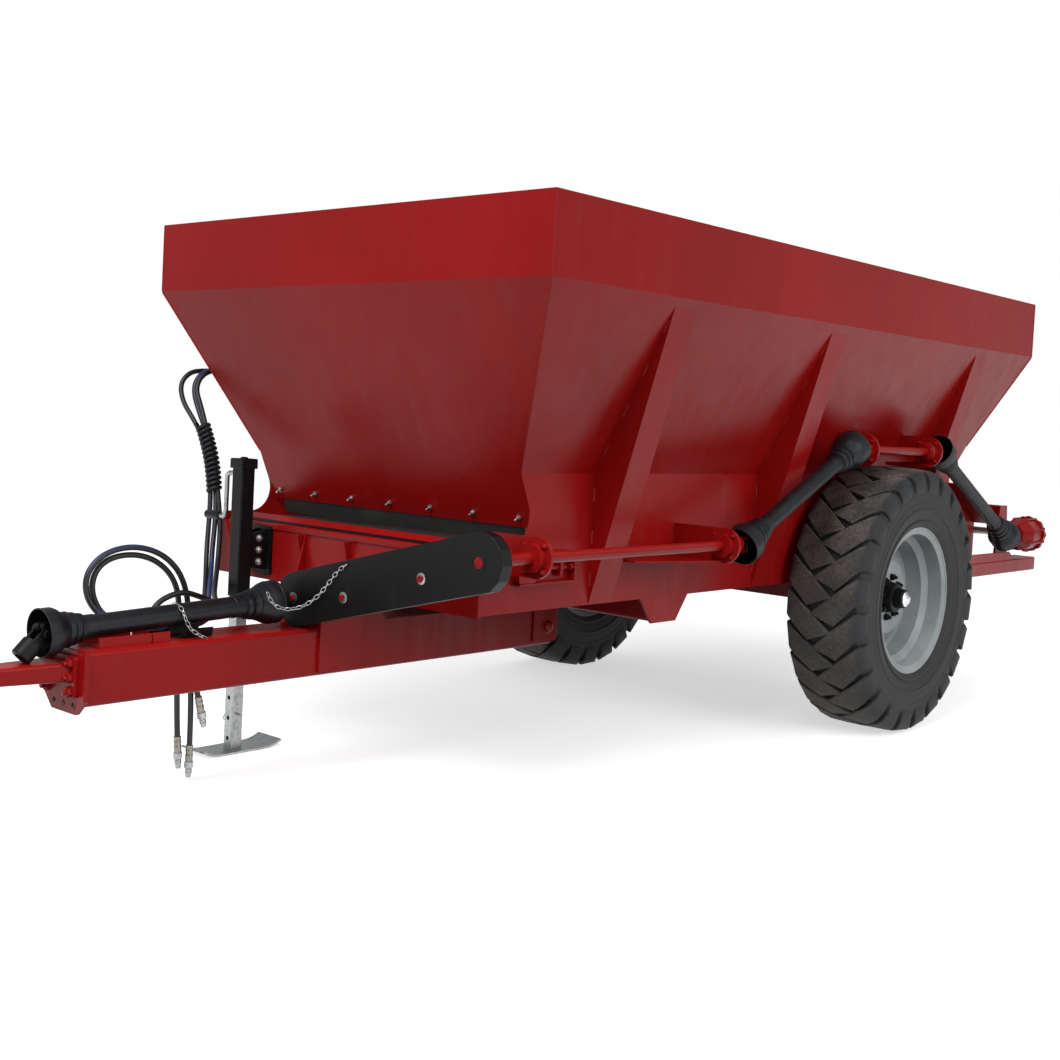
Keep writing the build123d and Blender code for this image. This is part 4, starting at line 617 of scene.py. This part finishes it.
for body, hand in (("wheel_left", 1), ("wheel_right", -1)):
    outward = (0, hand, 0)
    studs = [((axle_x + 0.092 * math.cos(a), hand * (wheel_y + 0.022), axle_z + 0.092 * math.sin(a)), outward, a)
             for a in (math.pi / 4 * i + 0.2 for i in range(8))]
    nuts = lay_copies(f"wheel_nuts_{body[6:]}", hex_bolt(0.0145, 0.016, 0.0165, 0.010), studs)
    fit(nuts, body, black_enamel)
    cap = turned(f"hub_cap_{body[6:]}", (axle_x, 0, axle_z), (axle_x, hand, axle_z), [
        (wheel_y + 0.1040, 0.0350), (wheel_y + 0.1060, 0.0365), (wheel_y + 0.1090, 0.0365),
        (wheel_y + 0.1105, 0.0345),
        (wheel_y + 0.1210, 0.0180), (wheel_y + 0.1225, 0.0120), (wheel_y + 0.1230, 0.0030)],
        10, smooth=None)
    fit(cap, body, chrome)
    ring = turned(f"rim_edge_{body[6:]}", (axle_x, 0, axle_z), (axle_x, hand, axle_z), [
        (wheel_y + 0.1400, 0.3300), (wheel_y + 0.1440, 0.3330), (wheel_y + 0.1480, 0.3330),
        (wheel_y + 0.1505, 0.3300),
        (wheel_y + 0.1505, 0.3255), (wheel_y + 0.1480, 0.3215), (wheel_y + 0.1400, 0.3215),
        (wheel_y + 0.1400, 0.3300)],
        96, ring=True)
    fit(ring, body, silver)

# Front wall's foot: seven studs, zinc plated, clamp a rubber sealing strip behind the wall's lower edge,
# and their threaded ends stand out of the nuts.
def flat_plate(name, corners, thick, edge=0.0015):
    """Sheet of steel cut to the corners, extruded by the thick vector, with its edges broken."""
    deselect()
    bpy.ops.mesh.primitive_circle_add(vertices=len(corners), radius=1, fill_type="NGON", location=(0, 0, 0))
    plate = bpy.context.object
    plate.name = plate.data.name = name
    for vertex, corner in zip(plate.data.vertices, corners):
        vertex.co = corner
    bpy.ops.object.mode_set(mode="EDIT")
    bpy.ops.mesh.select_all(action="SELECT")
    bpy.ops.mesh.extrude_region_move(TRANSFORM_OT_translate={"value": thick})
    face_outward()
    if edge:
        rounding = plate.modifiers.new("broken_edges", "BEVEL")
        rounding.width = edge
        rounding.segments = 2
        rounding.limit_method = "ANGLE"
        bpy.ops.object.modifier_apply(modifier=rounding.name)
    return plate


def bar(name, low, high, edge=0.002):
    """Rectangular bar or block between two corners, with rounded edges."""
    return flat_plate(name, [(low[0], low[1], low[2]), (high[0], low[1], low[2]), (high[0], high[1], low[2]),
                             (low[0], high[1], low[2])], (0, 0, high[2] - low[2]), edge)


wall_out = Vector((1, 0, -0.443)).normalized()
wall_studs = [(Vector((1.119, -0.651 + 0.217 * i, 0.977)) + wall_out * 0.001, wall_out, 0.4 * i)
              for i in range(7)]
fit(lay_copies("wall_bolts", hex_bolt(0.0085, 0.007, 0.011, 0.016), wall_studs), "chassis", zinc)
skirt = [(1.086, -0.655, 0.885), (1.086, 0.655, 0.885), (1.104, 0.655, 0.965), (1.104, -0.655, 0.965)]
fit(flat_plate("wall_skirt", skirt, (-0.005, 0, 0.001), 0.001), "chassis", belt_rubber)

# Cross panel: a lip bar is stitched along its top fold, and two small gussets stiffen it
# below the fold. Same enamel as the frame.
fit(joined("panel_lip", [
    bar("lip", (1.3705, -0.645, 0.846), (1.3765, 0.655, 0.868)),
] + [flat_plate("gusset", [(1.3705, y, 0.842), (1.404, y, 0.842), (1.3705, y, 0.700)], (0, 0.006, 0), 0.001)
     for y in (-0.196, 0.066)]), "chassis", enamel)

# Painted shade: a thin black sheet stands for the shaded slot between the fold and the lip
slot = [(1.3525, -0.645, 0.8700), (1.3525, 0.655, 0.8700), (1.3405, 0.655, 0.8778), (1.3405, -0.645, 0.8778)]
fit(flat_plate("panel_slot_painted_shade", slot, (0.0006, 0, 0.0009), 0), "chassis", black_enamel)

# Drive case: pressed steel cover over the roller chain, closed with three enamelled bolts on zinc
# washers. A faceted end cap and an inspection hole, with the red sprocket inside, sit at its outboard end.
case_front, case_end = 1.590, (0.906, 0.868)
case_bolts = [((case_front, y, z), (1, 0, 0), 0.3) for y, z in ((0.027, 0.648), (0.290, 0.682), (0.660, 0.790))]
washer = turned("washer", (0, 0, 0), (0, 0, 1), [(0, 0.0195), (0.0018, 0.0195), (0.0024, 0.0185)], 28)
fit(lay_copies("case_washers", washer, case_bolts), "chassis", zinc)
head = turned("head", (0, 0, 0), (0, 0, 1), [(0.002, 0.0118), (0.0105, 0.0118), (0.0125, 0.0098)], 6, smooth=None)
fit(lay_copies("case_bolts", head, case_bolts), "chassis", enamel)
cap = turned("facets", (1.541, *case_end), (1.6, *case_end), [
    (0.000, 0.0975), (0.002, 0.0995), (0.046, 0.0995), (0.0485, 0.0970), (0.0485, 0.0900), (0.000, 0.0900),
    (0.000, 0.0975)], 12, ring=True, smooth=None)
lip = turned("lip", (case_front, *case_end), (1.6, *case_end), [
    (-0.001, 0.0235), (0.0015, 0.0235), (0.0025, 0.0250), (0.0025, 0.0275), (0.0010, 0.0290), (-0.001, 0.0290),
    (-0.001, 0.0235)], 36, ring=True)
fit(joined("case_end", [cap, lip]), "chassis", black_enamel)
# The hole's inside is a black disc of painted shade, with the red sprocket disc on it
fit(turned("case_hole_painted_shade", (case_front, *case_end), (1.6, *case_end), [
    (-0.001, 0.0236), (0.0003, 0.0236), (0.0003, 0.0050)], 36), "chassis", black_enamel)
fit(turned("case_sprocket", (case_front, *case_end), (1.6, *case_end), [
    (0.0002, 0.0185), (0.0008, 0.0175), (0.0010, 0.0120), (0.0016, 0.0110), (0.0016, 0.0060)], 36), "chassis", enamel)

# Flange bearings of the side shafts: grey iron housings, painted over with the machine. Each sits on
# its plate with four bolts, and the shaft's locking collar stands out of it.
bearing_spots, bolt_spots = [], []
for plate_x, level, housed in (
        (1.362, 0.877, True), (0.267, 0.877, True), (-0.798, 1.255, False), (-1.430, 1.255, False)):
    for x, facing in ((plate_x, 1), (plate_x - 0.012, -1)):
        if not housed:
            bearing_spots.append(((x, side_y, level), (facing, 0, 0), 0))
        for i in range(4):
            turn = math.pi / 4 + math.pi / 2 * i
            spot = (x, side_y + 0.0575 * math.cos(turn), level + 0.0575 * math.sin(turn))
            bolt_spots.append((spot, (facing, 0, 0), turn))
housing = turned("housing", (0, 0, 0), (0, 0, 1), [
    (0.0005, 0.0480), (0.009, 0.0480), (0.010, 0.0440), (0.017, 0.0420), (0.020, 0.0390), (0.020, 0.0345),
    (0.024, 0.0345), (0.026, 0.0330), (0.026, 0.0302)], 40)
fit(lay_copies("shaft_bearings", housing, bearing_spots), "chassis", enamel)
fit(lay_copies("bearing_bolts", hex_bolt(0.0088, 0.0075, 0.0100, 0.006), bolt_spots), "chassis", enamel)

# Belt tensioner: on each side, the front roller's bearing block slides between two rails, drawn by a
# threaded rod with its nuts.
parts, threads = [], []
for hand in (1, -1):
    inner, outer = sorted((hand * 0.7115, hand * 0.7400))
    parts.append(bar("rail", (0.900, inner, 0.852), (1.200, outer, 0.860), 0.001))
    parts.append(bar("rail", (0.900, inner, 0.750), (1.200, outer, 0.758), 0.001))
    parts.append(bar("stop", (0.900, inner, 0.758), (0.908, outer, 0.852), 0.001))
    for x in (0.885, 0.912, 1.100):
        threads.append(((x, hand * 0.726, 0.805), (1, 0, 0), 0.3))
fit(joined("tensioner_rails", parts), "chassis", enamel)
nut = turned("nut", (0, 0, 0), (0, 0, 1), [
    (0, 0.0125), (0.001, 0.0138), (0.012, 0.0138), (0.013, 0.0125)], 6, smooth=None)
fit(lay_copies("tensioner_nuts", nut, threads), "chassis", enamel)

# Drawbar head: the towing hook's plate is held by six M20 bolts, and the end plate's lower lip
# has three pin holes.
hitch_bolts = [((2.474, y, z), (1, 0, 0), 0.2) for y in (-0.064, 0.064) for z in (0.424, 0.467, 0.511)]
fit(lay_copies("hitch_bolts", hex_bolt(0.0165, 0.0125, 0.0190, 0.010), hitch_bolts), "chassis", enamel)
# Each pin hole is drawn as a black disc of painted shade
painted_hole_shade = turned("pin_hole_painted_shade", (0, 0, 0), (0, 0, 1), [
    (-0.0005, 0.0078), (0.0006, 0.0078), (0.0006, 0.0020)], 20, smooth=None)
fit(lay_copies("hitch_holes_painted_shade", painted_hole_shade, [((2.456, y, 0.374), (1, 0, 0), 0) for y in (-0.062, 0.0, 0.062)]),
    "chassis", black_enamel)

# Drawbar sleeve's pivot: a plate on each side of the cross member with a large cup-head bolt through it.
parts = []
for hand in (1, -1):
    face = hand * 0.1125
    parts.append(flat_plate("cheek", [
        (0.236, face, 0.398), (0.385, face, 0.398), (0.385, face, 0.556), (0.236, face, 0.556)],
        (0, hand * 0.009, 0)))
    parts.append(turned("pivot", (0.300, hand * 0.121, 0.455), (0.300, hand, 0.455), [
        (0, 0.0330), (0.003, 0.0330), (0.004, 0.0240), (0.012, 0.0240), (0.0165, 0.0190), (0.0180, 0.0110)], 32))
fit(joined("pivot_plates", parts), "chassis", enamel)

# Parking jack: a square tube bolted to the panel by three zinc bolts. The crank has a black sleeve for
# the hand, and the leg is held by a spring pin with its ring.
fit(lay_copies("jack_bolts", hex_bolt(0.0120, 0.0095, 0.0150, 0.004), [
    ((1.418, -0.399, z), (0, 1, 0), 0.5) for z in (0.812, 0.767, 0.722)]), "chassis", zinc)
jack_x, jack_y = 1.480, -0.430
grip = turned("crank_grip", (jack_x, -0.571, 0.885), (jack_x, -1, 0.885), [
    (-0.002, 0.0100), (-0.002, 0.0155), (0.004, 0.0168), (0.070, 0.0168), (0.078, 0.0160), (0.082, 0.0120),
    (0.082, 0.0040)], 28)
fit(grip, "chassis", black_plastic)
crank_hub = turned("crank_hub", (jack_x, jack_y - 0.031, 1.055), (jack_x, -1, 1.055), [
    (-0.001, 0.0170), (0.003, 0.0170), (0.004, 0.0135), (0.018, 0.0135), (0.020, 0.0120), (0.020, 0.0080)], 28)
fit(crank_hub, "chassis", zinc)
fit(joined("jack_cap_band", [
    bar("band", (jack_x - 0.0375, jack_y - 0.0375, 1.076), (jack_x + 0.0375, jack_y + 0.0375, 1.1130), 0.003),
    turned("grease_cap", (jack_x, jack_y, 1.1135), (jack_x, jack_y, 2), [
        (0, 0.0150), (0.003, 0.0150), (0.006, 0.0110), (0.007, 0.0030)], 24),
]), "chassis", black_enamel)
deselect()
bpy.ops.mesh.primitive_torus_add(
    location=(0, 0, 0), major_radius=0.019, minor_radius=0.0019, major_segments=36, minor_segments=8)
ring = bpy.context.object
ring.rotation_euler = (math.radians(70), 0, math.radians(20))
ring.location = (jack_x + 0.006, jack_y - 0.0345, 0.126)
pin = turned("pin", (jack_x, jack_y - 0.040, 0.140), (jack_x, 1, 0.140), [
    (0, 0.0030), (0.001, 0.0062), (0.012, 0.0062), (0.013, 0.0045), (0.084, 0.0045), (0.086, 0.0030)], 16)
fit(joined("leg_pin", [ring, pin]), "jack_leg", zinc)

# Implement yoke: forged, with the cross's four bearing cups in their eyes and a push-pull collar
# on its splined bore.
joint = Vector((2.535, 0, 0.600))
down_yoke = Vector((1, 0, -1)).normalized()
cross_up = Vector((1, 0, 1)).normalized()
cups = [
    turned("cup", joint - reach * 0.0355, joint + reach, [
        (0, 0.0105), (0.002, 0.0125), (0.010, 0.0125), (0.012, 0.0080), (0.059, 0.0080), (0.061, 0.0125),
        (0.069, 0.0125), (0.071, 0.0105)], 24)
    for reach in (Vector((0, 1, 0)), cross_up)
]
collar = turned("collar", joint + down_yoke * 0.070, joint + down_yoke, [
    (0, 0.0250), (0.002, 0.0315), (0.008, 0.0325), (0.010, 0.0300), (0.018, 0.0300), (0.020, 0.0330), (0.026, 0.0330),
    (0.029, 0.0300), (0.029, 0.0195), (0.002, 0.0190)], 40)
fit(joined("yoke_cross", cups + [collar]), "power_fork", black_enamel)

# Guard chains: short-link zinc chain, 3 mm wire. One runs from the guard's rear bell to the drive case,
# and one loops from the drawbar over the guard's tube.
link_pitch = 0.0185


def chain(name, points):
    """Links laid along a smooth line through the points, every second one turned a quarter."""
    guide = bpy.data.objects.new(name + "_guide", smooth_line(name + "_line", points, 24))
    track = points_along(guide)
    bpy.data.objects.remove(guide)
    places, left = [], link_pitch / 2
    for before, after in zip(track, track[1:]):
        step = (after - before).length
        while left <= step:
            places.append((before.lerp(after, left / step), after - before, math.pi / 2 * (len(places) % 2) + 0.5))
            left += link_pitch
        left -= step
    deselect()
    bpy.ops.mesh.primitive_torus_add(
        location=(0, 0, 0), major_radius=0.0080, minor_radius=0.0017, major_segments=16, minor_segments=6)
    link = bpy.context.object
    link.rotation_euler = (math.radians(90), 0, 0)
    link.scale = (0.80, 1.42, 1.0)
    bpy.ops.object.transform_apply(location=True, rotation=True, scale=True)
    return fit(lay_copies(name, link, places), "chassis", zinc)


chain("guard_chain", [(1.742, 0.074, 0.682), (1.736, 0.082, 0.655), (1.712, 0.092, 0.632), (1.676, 0.104, 0.622),
                      (1.640, 0.140, 0.634), (1.616, 0.186, 0.672), (1.602, 0.226, 0.724), (1.5955, 0.268, 0.776),
                      (1.5945, 0.300, 0.794)])
chain("tube_chain", [(2.062, -0.010, 0.656), (2.064, 0.024, 0.654), (2.060, 0.048, 0.630), (2.052, 0.054, 0.600),
                     (2.040, 0.062, 0.576), (2.018, 0.078, 0.560), (2.000, 0.084, 0.5485)])

# Side gearbox: cast iron, machined at its cover, which eight bolts hold. Cast ribs run along its body
# and an oil plug sits in its side.
box_z, cover_bolts, box_parts = 0.830, [], []
for i in range(8):
    turn = math.pi / 8 + math.pi / 4 * i
    spot_y, spot_z = side_y + 0.0865 * math.cos(turn), box_z + 0.0865 * math.sin(turn)
    cover_bolts += [((-2.735, spot_y, spot_z), (-1, 0, 0), turn), ((-2.709, spot_y, spot_z), (1, 0, 0), turn)]
for i in range(8):
    turn = math.pi / 4 * i + 0.35
    out = Vector((0, math.cos(turn), math.sin(turn)))
    edge = Vector((0, -math.sin(turn), math.cos(turn))) * 0.004
    foot = Vector((0, side_y, box_z))
    box_parts.append(flat_plate("rib", [
        foot + out * 0.080 + Vector((-2.710, 0, 0)) - edge, foot + out * 0.094 + Vector((-2.710, 0, 0)) - edge,
        foot + out * 0.093 + Vector((-2.600, 0, 0)) - edge, foot + out * 0.060 + Vector((-2.534, 0, 0)) - edge,
        foot + out * 0.050 + Vector((-2.540, 0, 0)) - edge], edge * 2, 0.0015))
box_parts.append(turned("plug", (-2.650, side_y, box_z + 0.083), (-2.650, side_y, 2), [
    (0, 0.0160), (0.004, 0.0160), (0.005, 0.0110), (0.013, 0.0110), (0.014, 0.0095)], 6, smooth=None))
box_parts.append(turned("cover_boss", (-2.7345, side_y, box_z), (-3, side_y, box_z), [
    (0, 0.0620), (0.004, 0.0610), (0.005, 0.0400), (0.011, 0.0390), (0.012, 0.0370)], 40))
fit(joined("gearbox_ribs", box_parts), "chassis", enamel)
fit(lay_copies("gearbox_bolts", hex_bolt(0.0075, 0.0065, 0.0085), cover_bolts), "chassis", enamel)

# Rear arms' webs: a plate stands on each arm between the wheel and the spinner, to carry its load,
# and slopes down under the shaft's guard.
fit(joined("arm_webs", [
    flat_plate("web", [(-1.835, hand * 0.930, 0.699), (-1.835, hand * 0.930, 0.742), (-1.850, hand * 0.930, 0.745),
                       (-2.500, hand * 0.930, 0.742), (-2.560, hand * 0.930, 0.699)], (0, hand * 0.008, 0))
    for hand in (1, -1)]), "chassis", enamel)

# Disc gearboxes: a cover with four bolts on each, over the beam. Four zinc bolts hold each spinner's disc.
cover_spots = [((-2.650 + dx, hand * 0.330 + dy, 0.915), (0, 0, 1), 0.1)
               for hand in (1, -1) for dx in (-0.056, 0.056) for dy in (-0.056, 0.056)]
fit(lay_copies("disc_gearbox_bolts", hex_bolt(0.0075, 0.0065, 0.0095), cover_spots), "chassis", enamel)
for body, hand in (("spinner_left", 1), ("spinner_right", -1)):
    places = [((-2.650 + 0.055 * math.cos(a), hand * 0.330 + 0.055 * math.sin(a), 0.6470), (0, 0, 1), a)
              for a in (math.pi / 2 * i + 0.4 for i in range(4))]
    fit(lay_copies(body + "_bolts", hex_bolt(0.0075, 0.006, 0.0095), places), body, zinc)

# Weld beads: gas-shielded fillet welds, with the ripple of each drop, under the enamel. Seams run down
# the hopper's corners; the ribs are stitched with short runs.
def weld(start, end, leg=0.0042):
    """One bead between two points: a rippled length repeated by an Array."""
    start, end = Vector(start), Vector(end)
    step = 0.012
    bead = turned("bead", (0, 0, 0), (0, 0, 1), [
        (0, leg * 0.86), (step * 0.25, leg), (step * 0.5, leg * 0.88), (step * 0.75, leg * 1.02), (step, leg * 0.86)],
        6, smooth=None)
    repeat = bead.modifiers.new("run", "ARRAY")
    repeat.count = max(2, round((end - start).length / step))
    repeat.use_relative_offset = False
    repeat.use_constant_offset = True
    repeat.constant_offset_displace = (0, 0, step)
    bpy.ops.object.modifier_apply(modifier=repeat.name)
    aim(bead, start, end)
    return bead


def stitched(start, end, run=0.045, gap=0.12):
    """Short runs of weld along a line."""
    start, end = Vector(start), Vector(end)
    long = (end - start).length
    count = max(1, int(long / (run + gap)))
    ahead_by = (end - start) / long
    return [weld(start + ahead_by * (i + 0.3) * long / count, start + ahead_by * ((i + 0.3) * long / count + run))
            for i in range(count)]


beads = []
for hand in (1, -1):
    beads += [
        weld((1.4655, hand * 1.0385, 1.762), (1.4655, hand * 1.0385, 2.022), 0.0030),
        weld((1.4650, hand * 1.0380, 1.758), (1.1890, hand * 0.7120, 1.136), 0.0034),
        weld((-2.3615, hand * 1.0385, 1.762), (-2.3615, hand * 1.0385, 2.022), 0.0030),
        weld((-2.3610, hand * 1.0380, 1.758), (-2.2090, hand * 0.7900, 1.286), 0.0034),
    ]
    for x in (0.785, 0.650, -0.315, -0.450, -1.720, -1.855):
        beads += stitched((x, hand * 1.0210, 1.724), (x, hand * 0.7115, 1.136))
        beads += stitched((x, hand * 0.7115, 1.128), (x, hand * 0.7115, 0.665), gap=0.08)
    beads += [weld((2.4395, hand * 0.1000, 0.380), (2.4395, hand * 0.1000, 0.540), 0.0040)]
fit(joined("weld_beads", beads), "chassis", enamel)
